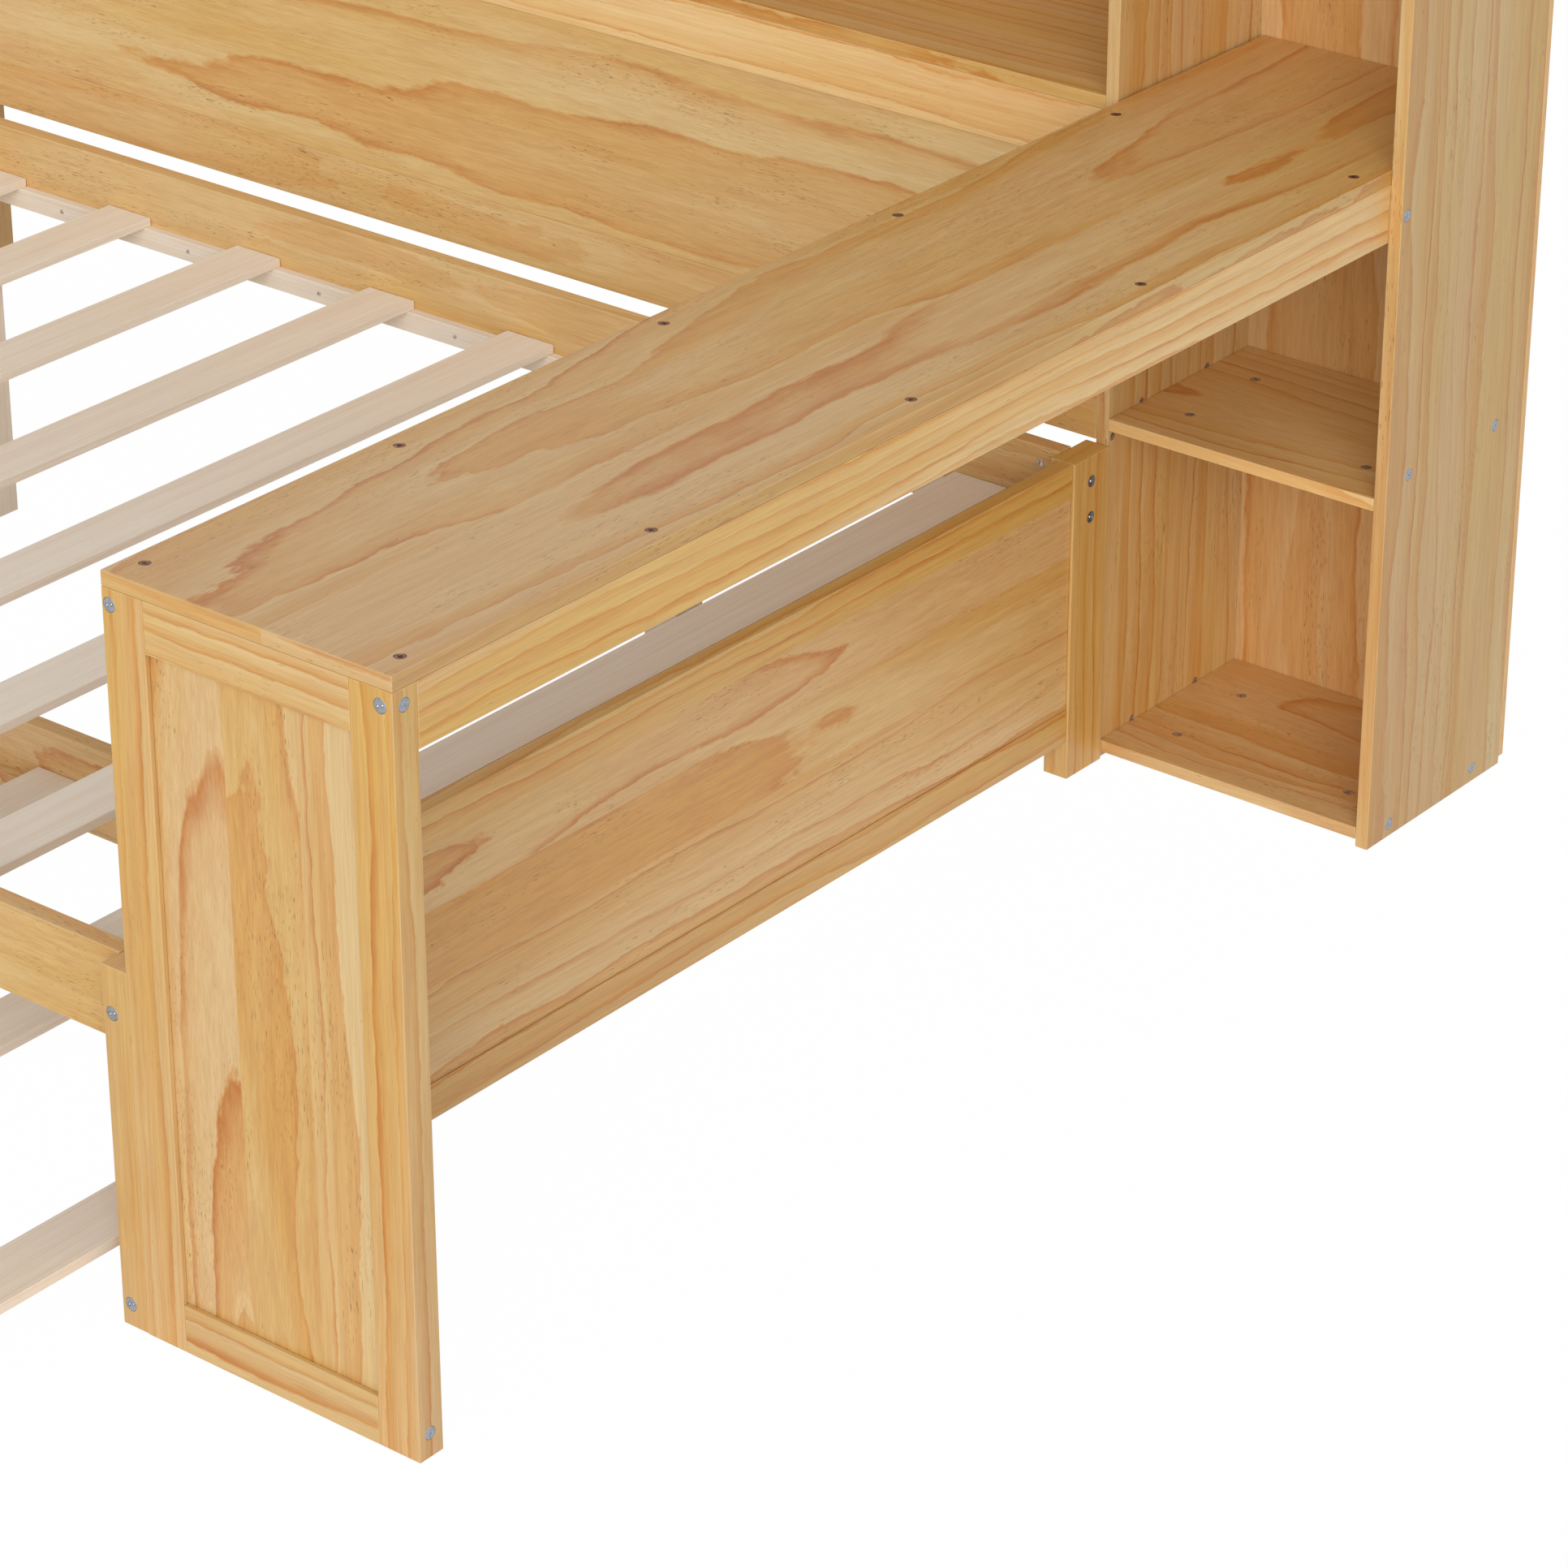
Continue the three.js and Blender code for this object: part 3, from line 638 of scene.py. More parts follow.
FIGURED_PINE = WoodFinish(
    name="figured_pine", slot="pine",
    pale="DFC088", golden="D7AE66", blush="D9AE7C", glow="D19240", late="C37832", fleck="7C4E22",
    arris="DFBF8A", ring_width=0.024, wander=1.8, wiggle=0.35, late_share=0.2, line_strength=0.95,
    least_line=0.14, glow_strength=0.42, pink_strength=0.4, gold_strength=0.55, fine_strength=0.2,
    fibre_strength=0.25, fleck_amount=1.1, fleck_strength=0.65, roughness=0.42, varnish=0.12,
    relief=0.2 * MM)
STRAIGHT_PINE = WoodFinish(
    name="straight_pine", slot="pine",
    pale="E0C084", golden="D9AE5E", blush="D9B07E", glow="D39434", late="C97E24", fleck="7F5A30",
    arris="E1C088", ring_width=0.019, wander=1.3, wiggle=0.34, late_share=0.3, line_strength=1.0,
    least_line=0.5, glow_strength=0.4, pink_strength=0.5, gold_strength=0.3, fine_strength=0.2,
    fibre_strength=0.25, fleck_amount=0.6, fleck_strength=0.5, roughness=0.42, varnish=0.12,
    relief=0.2 * MM)
BROAD_PINE = replace(
    FIGURED_PINE, name="broad_pine", ring_width=0.044, wander=1.3, wiggle=0.24, late_share=0.13,
    line_strength=0.62, least_line=0.1, glow_strength=0.36, gold_strength=0.35, fine_strength=0.14,
    fleck_amount=1.2)
# A paler copy of the straight pine. On the tower's middle shelf it is painted light that lifts the shade
# under the desk top.
LIGHTENED_PINE = replace(
    STRAIGHT_PINE, name="lightened_pine", pale="F0CE93", golden="E8BB70", blush="E9BE8A", glow="E0A04A",
    late="D4883A", late_share=0.24, least_line=0.2)
LINED_PINE = replace(
    STRAIGHT_PINE, name="lined_pine", ring_width=0.0105, wander=1.5, wiggle=0.4, late_share=0.4,
    glow_strength=0.3, fine_strength=0.1)
PALE_SOFTWOOD = WoodFinish(
    name="pale_softwood", slot="pale_pine",
    pale="F6EBDB", golden="F3E6D4", blush="F0E0CF", glow="EBDAC4", late="E1CEB5", fleck="B9A184",
    arris="F8F0E4", ring_width=0.0045, wander=0.8, wiggle=0.3, late_share=0.6, line_strength=0.4,
    least_line=0.12, glow_strength=0.3, pink_strength=0.5, gold_strength=0.2, fine_strength=0.1,
    fibre_strength=0.22, fleck_amount=0.5, fleck_strength=0.3, roughness=0.62, varnish=0.0,
    relief=0.3 * MM)
ZINC = HardFinish(
    name="zinc", slot="steel", colour="A9ADB3", dull="989CA2", metal=1.0, roughness=0.5, relief=0.02 * MM)
POLISHED_STEEL = HardFinish(
    name="polished_steel", slot="steel", colour="F2F2F2", dull="DDDDDD", metal=1.0, roughness=0.16,
    relief=0.01 * MM)
DULL_STEEL = HardFinish(
    name="dull_steel", slot="steel", colour="CDC3BF", dull="AFA49D", metal=1.0, roughness=0.5,
    relief=0.03 * MM)
BRONZED_STEEL = replace(DULL_STEEL, name="bronzed_steel", colour="94705F", dull="74534A")
BAR_STEEL = HardFinish(
    name="bar_steel", slot="steel", colour="A2A5A8", dull="7D8084", metal=1.0, roughness=0.4,
    relief=0.04 * MM)
WHEEL_NYLON = HardFinish(
    name="wheel_nylon", slot="wheel_plastic", colour="2E2E31", dull="3B3B3E", metal=0.0, roughness=0.5,
    relief=0.03 * MM)


class Sawing(Enum):
    """How a board was cut from its log."""

    FLAT = "flat"  # the pith lies under it: arches on the wide faces
    RIFT = "rift"  # the pith lies off to one side: lines along the wide faces


@dataclass(frozen=True)
class LogPlace:
    """Where a board lay in its log, which settles the figure on its faces.

    Attributes:
        aside: how far the pith lies beside the board's middle.
        below: how far the pith lies under it.
        climb: how far the pith sinks in each metre.
        start: where along the log the board's middle is.
        swing: how far the pith moves aside in each metre.
    """

    aside: float
    below: float
    climb: float
    start: float
    swing: float = 0.0


@dataclass(frozen=True)
class Tone:
    """How one strip of wood differs from the next, painted shade included, or how far that changes. A
    change may be below 0.

    Attributes:
        warmth: how golden it is, from 0 to 1.
        pinkness: how pink it is, from 0 to 1.
        darkness_and_shade: how much light it takes away, from 0 to 1: the wood's random darkness, and
            painted shade on boards and faces that get less light.
    """

    warmth: float
    pinkness: float = 0.0
    darkness_and_shade: float = 0.0


NO_CHANGE = Tone(0.0)
END_TONE = Tone(0.6)  # the tone of every sawn end


def picked_tone(seed: str) -> Tone:
    """Picks the tone of a strip.

    Args:
        seed: a text that settles the pick.

    Returns:
        The tone.
    """
    pick = random.Random(seed)
    warmth = pick.uniform(0.15, 0.85)
    pinkness = pick.uniform(0.0, 0.3)
    darkness_and_shade = pick.uniform(0.0, 0.06)
    return Tone(warmth, pinkness, darkness_and_shade)


def sawn(sawing: Sawing, width: float, seed: str) -> LogPlace:
    """Picks a place in a log for a board.

    Args:
        sawing: how the board is cut.
        width: how wide it is.
        seed: a text that settles the picks.

    Returns:
        The place.
    """
    pick = random.Random(seed)
    side = pick.choice((-1, 1))
    if sawing is Sawing.FLAT:
        aside = pick.uniform(-0.3, 0.3) * width
        below = pick.uniform(0.035, 0.075)
        swing = pick.uniform(-0.02, 0.02)
        climb = side * pick.uniform(0.03, 0.07)
    else:
        aside = side * (width / 2 + pick.uniform(0.03, 0.08))
        below = pick.uniform(0.03, 0.07)
        swing = pick.uniform(-0.008, 0.008)
        climb = pick.uniform(-0.01, 0.01)
    log_number = pick.randint(1, 11)
    share_along = pick.uniform(0.25, 0.75)
    return LogPlace(aside, below, climb, LOG_LENGTH * (log_number + share_along), swing)


@dataclass(frozen=True)
class Pocket:
    """A round pocket cut in a board for a fastener's head.

    Attributes:
        centre: the middle of its mouth, on the board's face.
        facing: the way the mouth looks.
        radius: how wide it is.
        depth: how deep it is.
    """

    centre: Vector
    facing: Vector
    radius: float
    depth: float


def facing_turn(facing: Vector) -> Matrix:
    """Gives the turn that takes +Z to a direction."""
    return facing.to_track_quat("Z", "Y").to_matrix().to_4x4()


def add_rod(shape: bmesh.types.BMesh, radius: float, length: float, sides: int, place: Matrix) -> None:
    """Adds a closed round rod.

    Args:
        shape: what it is added to.
        radius: its radius.
        length: how long it is along its own Z, half of that each way.
        sides: how many sides its round has.
        place: where its middle is and how it is turned.
    """
    bmesh.ops.create_cone(shape, cap_ends=True, segments=sides, radius1=radius, radius2=radius,
                          depth=length, matrix=place)


def settle_order(shape: bmesh.types.BMesh) -> None:
    """Sorts points, edges and faces by place, for Blender's tools may list them otherwise in each run.

    Args:
        shape: what is sorted.
    """
    kinds = (
        (shape.verts, lambda vertex: tuple(vertex.co)),
        (shape.edges, lambda edge: tuple(edge.verts[0].co + edge.verts[1].co)),
        (shape.faces, lambda face: tuple(face.calc_center_median())),
    )
    for elements, place in kinds:
        for index, element in enumerate(sorted(elements, key=place)):
            element.index = index
        elements.sort()


def subtract(mesh: bpy.types.Mesh, cutter: bmesh.types.BMesh) -> bpy.types.Mesh:
    """Cuts one closed shape from another.

    Args:
        mesh: the shape that is cut.
        cutter: the shape that is taken away. It is freed.

    Returns:
        A new mesh. The old one is removed.
    """
    cutter_mesh = bpy.data.meshes.new("cutter")
    cutter.to_mesh(cutter_mesh)
    cutter.free()
    tool = bpy.data.objects.new("cutter", cutter_mesh)
    work = bpy.data.objects.new("work", mesh)
    for one in (tool, work):
        bpy.context.scene.collection.objects.link(one)
    cut = work.modifiers.new("cut", "BOOLEAN")
    cut.operation, cut.solver, cut.object = "DIFFERENCE", "EXACT", tool
    shown = work.evaluated_get(bpy.context.evaluated_depsgraph_get())
    made = bpy.data.meshes.new_from_object(shown)
    for one in (tool, work):
        bpy.data.objects.remove(one)
    bpy.data.meshes.remove(cutter_mesh)
    bpy.data.meshes.remove(mesh)
    return made


def eased_copy(node: str, ease: float) -> bpy.types.Mesh:
    """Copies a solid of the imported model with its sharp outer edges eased.

    Args:
        node: the solid's name.
        ease: how wide the rounding is.

    Returns:
        A new mesh in the frame's own coordinates.
    """
    shape = bmesh.new()
    shape.from_mesh(frame["nodes"][node].data)
    bmesh.ops.remove_doubles(shape, verts=shape.verts, dist=MERGE_DISTANCE)
    bmesh.ops.dissolve_limit(shape, angle_limit=FLAT_ANGLE, verts=shape.verts, edges=shape.edges)
    sharp = [e for e in shape.edges if e.is_manifold and e.is_convex and e.calc_face_angle() > SHARP_ANGLE]
    bmesh.ops.bevel(shape, geom=sharp, offset=ease, segments=EASE_STEPS, profile=ROUND, affect="EDGES",
                    clamp_overlap=True)
    mesh = bpy.data.meshes.new(node)
    shape.to_mesh(mesh)
    shape.free()
    return mesh


def put_in_scene(name: str, mesh: bpy.types.Mesh, body: str) -> bpy.types.Object:
    """Adds a piece that rides on a body.

    Args:
        name: the piece's name.
        mesh: its mesh, in the frame's own coordinates.
        body: the body that it moves with.

    Returns:
        The new object.
    """
    piece = bpy.data.objects.new(name, mesh)
    bpy.context.scene.collection.objects.link(piece)
    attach(piece, body)
    return piece


def body_of(node: str) -> str:
    """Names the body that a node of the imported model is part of."""
    return frame["nodes"][node]["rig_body"]


@dataclass(frozen=True)
class FaceCorners:
    """Every corner of every face of a mesh, one row each.

    Attributes:
        points: where it is.
        centres: the middle of its face.
        normals: the way its face looks.
    """

    points: np.ndarray
    centres: np.ndarray
    normals: np.ndarray

    @classmethod
    def of(cls, mesh: bpy.types.Mesh) -> "FaceCorners":
        """Reads them from a mesh."""
        corners = np.empty(len(mesh.loops), np.int32)
        mesh.loops.foreach_get("vertex_index", corners)
        points = np.empty((len(mesh.vertices), 3))
        mesh.vertices.foreach_get("co", points.ravel())
        sides = np.empty(len(mesh.polygons), np.int32)
        mesh.polygons.foreach_get("loop_total", sides)
        centres, normals = np.empty((2, len(sides), 3))
        mesh.polygons.foreach_get("center", centres.ravel())
        mesh.polygons.foreach_get("normal", normals.ravel())
        return cls(points[corners], np.repeat(centres, sides, axis=0), np.repeat(normals, sides, axis=0))


@dataclass
class Board:
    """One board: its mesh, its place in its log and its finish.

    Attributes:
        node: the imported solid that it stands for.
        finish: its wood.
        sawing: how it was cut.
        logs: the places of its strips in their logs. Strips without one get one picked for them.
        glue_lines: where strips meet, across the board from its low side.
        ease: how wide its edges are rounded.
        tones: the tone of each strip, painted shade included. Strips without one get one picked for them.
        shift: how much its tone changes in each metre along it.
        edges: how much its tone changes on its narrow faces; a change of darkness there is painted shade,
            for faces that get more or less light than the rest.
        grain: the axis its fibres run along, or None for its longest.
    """

    node: str
    finish: WoodFinish
    sawing: Sawing = Sawing.RIFT
    logs: tuple[LogPlace, ...] = ()
    glue_lines: tuple[float, ...] = ()
    ease: float = BOARD_EASE
    tones: tuple[Tone, ...] = ()
    shift: Tone = NO_CHANGE
    edges: Tone = NO_CHANGE
    grain: int | None = None

    def axes(self, size: Vector) -> tuple[int, int, int]:
        """Sorts the axes.

        Args:
            size: the board's size.

        Returns:
            The axis along the grain, the one across the board and the one through it.
        """
        along = self.grain if self.grain is not None else max(range(3), key=lambda axis: size[axis])
        across, through = sorted((axis for axis in range(3) if axis != along), key=lambda axis: -size[axis])
        return along, across, through

    def build(self, workshop: Workshop, pockets: Sequence[Pocket] = ()) -> bpy.types.Object:
        """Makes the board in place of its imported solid.

        Args:
            workshop: gives the material.
            pockets: what is cut from it for fasteners.

        Returns:
            The new piece.
        """
        mesh = eased_copy(self.node, self.ease)
        low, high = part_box(self.node)
        axes = self.axes(high - low)
        self.split_at_glue_lines(mesh, low, axes)
        if pockets:
            cutter = bmesh.new()
            for pocket in pockets:
                turn = Matrix.Translation(pocket.centre) @ facing_turn(pocket.facing)
                add_rod(cutter, pocket.radius, 2 * pocket.depth, POCKET_SIDES, turn)
            mesh = subtract(mesh, cutter)
        self.write_attributes(mesh, low, high, axes)
        mesh.materials.clear()
        mesh.materials.append(workshop.material(self.finish))
        piece = put_in_scene(self.node + "_wood", mesh, body_of(self.node))
        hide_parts(self.node)
        return piece

    def split_at_glue_lines(self, mesh: bpy.types.Mesh, low: Vector, axes: tuple[int, int, int]) -> None:
        """Cuts the faces where strips meet, so that each face lies in one strip.

        Args:
            mesh: the board's mesh.
            low: the board's lowest corner.
            axes: along, across and through the board.
        """
        if not self.glue_lines:
            return
        shape = bmesh.new()
        shape.from_mesh(mesh)
        normal = Vector([float(axis == axes[1]) for axis in range(3)])
        for line in self.glue_lines:
            geometry = [*shape.verts, *shape.edges, *shape.faces]
            bmesh.ops.bisect_plane(shape, geom=geometry, plane_co=low + normal * line, plane_no=normal)
        shape.to_mesh(mesh)
        shape.free()

    def strips(self, widths: Sequence[float]) -> tuple[np.ndarray, np.ndarray]:
        """Settles where each strip lay in its log, and its tone.

        Args:
            widths: how wide each strip is.

        Returns:
            One row for each strip with its log place's numbers, and one with its tone's.
        """
        logs = [sawn(self.sawing, width, f"{self.node} {i}") for i, width in enumerate(widths)]
        tones = [picked_tone(f"{self.node} tone {i}") for i in range(len(widths))]
        logs[:len(self.logs)] = self.logs
        tones[:len(self.tones)] = self.tones
        return np.array([astuple(log) for log in logs]), np.array([astuple(tone) for tone in tones])

    def write_attributes(self, mesh: bpy.types.Mesh, low: Vector, high: Vector,
                         axes: tuple[int, int, int]) -> None:
        """Writes each face corner's place in its log, its tone with any painted shade, and whether it is on
        an eased edge.

        Args:
            mesh: the board's mesh.
            low: the board's lowest corner.
            high: its highest corner.
            axes: along, across and through the board.
        """
        along, across, through = axes
        corners = FaceCorners.of(mesh)
        place = corners.points - np.array((low + high) / 2)
        strip = np.searchsorted(np.array(self.glue_lines), corners.centres[:, across] - low[across])
        logs, tones = self.strips(np.diff([0.0, *self.glue_lines, (high - low)[across]]))
        aside, below, climb, start, swing = logs[strip].T
        u, v, w = place[:, along], place[:, across], place[:, through]
        facing = np.abs(corners.normals)
        is_end = facing[:, along] > FACING_SHARE
        in_log = np.stack([
            np.where(is_end, v, u) + start,
            np.where(is_end, w, v + swing * u) + aside,
            np.where(is_end, 0.0, w + climb * u) + below,
        ], axis=1)
        tone = tones[strip] + np.outer(u, astuple(self.shift))
        # narrow faces take the edges change; its darkness is painted shade of faces lit differently from
        # the wide ones
        tone += np.outer(facing[:, across] > FACING_SHARE, astuple(self.edges))
        tone[is_end] = astuple(END_TONE)
        tone = np.clip(tone, 0.0, 1.0)
        eased = (facing.max(axis=1) < EASED_SHARE).astype(float)
        mesh.attributes.new(LOG_PLACE, "FLOAT_VECTOR", "CORNER").data.foreach_set("vector", in_log.ravel())
        mesh.attributes.new(BOARD_TONE_AND_SHADE, "FLOAT_VECTOR", "CORNER").data.foreach_set("vector", tone.ravel())
        mesh.attributes.new(ARRIS, "FLOAT", "CORNER").data.foreach_set("value", eased)


class Drive(Enum):
    """What a fastener's face shows."""

    CROSS = "cross"
    SLOT = "slot"
    CUP = "cup"  # a wide round hollow with a pin in its middle
    PIN_HOLE = "pin hole"  # one small hole with a pin in it
    TWO_PINS = "two pins"  # two small holes, each with a pin in it


@dataclass(frozen=True)
class Fastener:
    """The head of a bolt, screw or barrel nut.

    Attributes:
        radius: the head's radius.
        thickness: how thick the head is.
        crown: how wide its rounded rim is.
        sink: how far its top lies under the board's face. A head that stands proud has a negative one.
        drive: what its face shows.
        drive_size: how wide the hollow is, or for two pins how far apart they are.
        drive_depth: how deep the hollow is.
        finish: its metal.
        pin_finish: the metal of the pins in its face.
        pin_radius: the radius of those pins.
    """

    radius: float
    thickness: float
    crown: float
    sink: float
    drive: Drive
    drive_size: float
    drive_depth: float
    finish: HardFinish
    pin_finish: HardFinish = POLISHED_STEEL
    pin_radius: float = 0.8 * MM

    @property
    def pocket_depth(self) -> float:
        """How deep the head's pocket is, or 0 if it lies on the face."""
        return max(0.0, self.thickness + self.sink)

    def head(self) -> bpy.types.Mesh:
        """Makes one head, with its top at height 0 and +Z up.

        Returns:
            Its mesh. Its pins have the second material.
        """
        shape = bmesh.new()
        lift = Matrix.Translation((0, 0, -self.thickness / 2))
        add_rod(shape, self.radius, self.thickness, HEAD_SIDES, lift)
        rim = [e for e in shape.edges if all(abs(v.co.z) < MERGE_DISTANCE for v in e.verts)]
        bmesh.ops.bevel(shape, geom=rim, offset=self.crown, segments=CROWN_STEPS, profile=ROUND,
                        affect="EDGES")
        mesh = bpy.data.meshes.new("head")
        shape.to_mesh(mesh)
        shape.free()
        for cutter in self.hollows():
            mesh = subtract(mesh, cutter)
        return self.with_pins(mesh)

    def pin_places(self) -> list[float]:
        """Gives how far along X each pin stands from the head's middle."""
        if self.drive is Drive.TWO_PINS:
            return [-self.drive_size / 2, self.drive_size / 2]
        return [0.0] if self.drive in (Drive.CUP, Drive.PIN_HOLE) else []

    def hollows(self) -> list[bmesh.types.BMesh]:
        """Makes the shapes that are cut from the head's face.

        Returns:
            Closed shapes round height 0.
        """
        made = []
        if self.drive in (Drive.CROSS, Drive.SLOT):
            slot_width = self.drive_size * SLOT_SHARE
            arms = [(self.drive_size, slot_width)]
            if self.drive is Drive.CROSS:
                arms.append((slot_width, self.drive_size))
            for length, width in arms:
                cutter = bmesh.new()
                scale = Matrix.Diagonal((length, width, 2 * self.drive_depth, 1))
                bmesh.ops.create_cube(cutter, size=1, matrix=scale)
                made.append(cutter)
            return made
        radius = 2 * self.pin_radius if self.drive is Drive.TWO_PINS else self.drive_size / 2
        for x in self.pin_places():
            cutter = bmesh.new()
            add_rod(cutter, radius, 2 * self.drive_depth, HOLLOW_SIDES, Matrix.Translation((x, 0, 0)))
            made.append(cutter)
        return made

    def with_pins(self, mesh: bpy.types.Mesh) -> bpy.types.Mesh:
        """Adds the pins in the hollows.

        Args:
            mesh: the head's mesh.

        Returns:
            The same mesh.
        """
        shape = bmesh.new()
        shape.from_mesh(mesh)
        for x in self.pin_places():
            foot = Matrix.Translation((x, 0, -self.drive_depth))
            made = bmesh.ops.create_uvsphere(
                shape, u_segments=PIN_SIDES, v_segments=PIN_ROWS, radius=self.pin_radius, matrix=foot)
            for face in {face for vertex in made["verts"] for face in vertex.link_faces}:
                face.material_index = 1
        settle_order(shape)
        shape.to_mesh(mesh)
        shape.free()
        return mesh


CAP_BOLT = Fastener(
    radius=6.5 * MM, thickness=2.2 * MM, crown=0.5 * MM, sink=0.1 * MM,
    drive=Drive.PIN_HOLE, drive_size=2.2 * MM, drive_depth=1.0 * MM, finish=ZINC)
PIN_BOLT = Fastener(
    radius=7.0 * MM, thickness=2.2 * MM, crown=0.5 * MM, sink=0.1 * MM,
    drive=Drive.TWO_PINS, drive_size=5.6 * MM, drive_depth=0.5 * MM, finish=ZINC, pin_radius=0.9 * MM)
CUP_BOLT = Fastener(
    radius=6.6 * MM, thickness=2.6 * MM, crown=0.4 * MM, sink=0.3 * MM,
    drive=Drive.CUP, drive_size=10.6 * MM, drive_depth=1.4 * MM, finish=ZINC, pin_radius=1.4 * MM)
SUNK_SCREW = Fastener(
    radius=5.6 * MM, thickness=2.0 * MM, crown=0.4 * MM, sink=0.4 * MM,
    drive=Drive.CROSS, drive_size=5.6 * MM, drive_depth=0.8 * MM, finish=BRONZED_STEEL)
BARREL_NUT = Fastener(
    radius=5.7 * MM, thickness=2.2 * MM, crown=0.3 * MM, sink=0.2 * MM,
    drive=Drive.SLOT, drive_size=7.5 * MM, drive_depth=1.0 * MM, finish=DULL_STEEL)
DOWEL_NUT = Fastener(
    radius=4.4 * MM, thickness=2.2 * MM, crown=0.3 * MM, sink=0.1 * MM,
    drive=Drive.SLOT, drive_size=6.5 * MM, drive_depth=0.8 * MM, finish=DULL_STEEL)
PAN_SCREW = Fastener(
    radius=2.6 * MM, thickness=1.4 * MM, crown=0.8 * MM, sink=-1.0 * MM,
    drive=Drive.CROSS, drive_size=2.8 * MM, drive_depth=0.6 * MM, finish=DULL_STEEL)


@dataclass
class Fastening:
    """Fasteners of one kind in one board.

    Attributes:
        name: the name of the piece that they are.
        node: the board that they are in.
        fastener: what they are.
        facing: the way their heads look.
        places: the middles of their mouths on the board's face.
        spin: how far each is turned in its pocket, in degrees, or None for a pick of its own.
    """

    name: str
    node: str
    fastener: Fastener
    facing: Vector
    places: list[Vector]
    spin: float | None = None

    def pockets(self) -> list[Pocket]:
        """Gives the pockets that the heads sit in."""
        depth = self.fastener.pocket_depth
        if depth <= 0:
            return []
        radius = self.fastener.radius + POCKET_GAP
        return [Pocket(place, self.facing, radius, depth) for place in self.places]

    def build(self, workshop: Workshop) -> bpy.types.Object:
        """Makes the heads as one piece.

        Args:
            workshop: gives the material.

        Returns:
            The new piece.
        """
        head = self.fastener.head()
        shape = bmesh.new()
        pick = random.Random(self.name)
        for place in self.places:
            sunk = place - self.facing * (self.fastener.sink - HEAD_LIFT)
            turned = math.radians(self.spin) if self.spin is not None else pick.uniform(0, math.tau)
            seat = Matrix.Translation(sunk) @ facing_turn(self.facing)
            one = head.copy()
            one.transform(seat @ Matrix.Rotation(turned, 4, "Z"))
            shape.from_mesh(one)
            bpy.data.meshes.remove(one)
        bpy.data.meshes.remove(head)
        mesh = bpy.data.meshes.new(self.name)
        shape.to_mesh(mesh)
        shape.free()
        mesh.shade_smooth()
        mesh.set_sharp_from_angle(angle=SHARP_ANGLE)
        mesh.materials.append(workshop.material(self.fastener.finish))
        if self.fastener.pin_places():
            mesh.materials.append(workshop.material(self.fastener.pin_finish))
        return put_in_scene(self.name, mesh, body_of(self.node))


LEFTWARD, RIGHTWARD = Vector((-1, 0, 0)), Vector((1, 0, 0))
FORWARD, BACKWARD = Vector((0, -1, 0)), Vector((0, 1, 0))
UPWARD = Vector((0, 0, 1))
PIN_SPIN = 20.0  # how far the two-pin bolts were turned, in degrees


class Side(Enum):
    """An end of the bed."""

    LEFT = "left"
    RIGHT = "right"

    @property
    def outward(self) -> Vector:
        """The way the end's outer faces look."""
        return RIGHTWARD if self is Side.RIGHT else LEFTWARD

    def outer(self, low: Vector, high: Vector) -> float:
        """Gives how far along X the outer face of a box is."""
        return high.x if self is Side.RIGHT else low.x


@dataclass
class SubAssembly:
    """Boards and fasteners that are put together as one."""

    def boards(self) -> list[Board]:
        """Lists the boards."""
        return []

    def fastenings(self) -> list[Fastening]:
        """Lists the fasteners."""
        return []

    def build(self, workshop: Workshop) -> None:
        """Makes every piece and reports it.

        Args:
            workshop: gives the materials.
        """
        fastenings = self.fastenings()
        for board in self.boards():
            pockets = [p for f in fastenings if f.node == board.node for p in f.pockets()]
            piece = board.build(workshop, pockets)
            REPORT.info("%s: %s, %d faces", type(self).__name__, piece.name, len(piece.data.polygons))
        for fastening in fastenings:
            piece = fastening.build(workshop)
            REPORT.info("%s: %s, %d heads", type(self).__name__, piece.name, len(fastening.places))


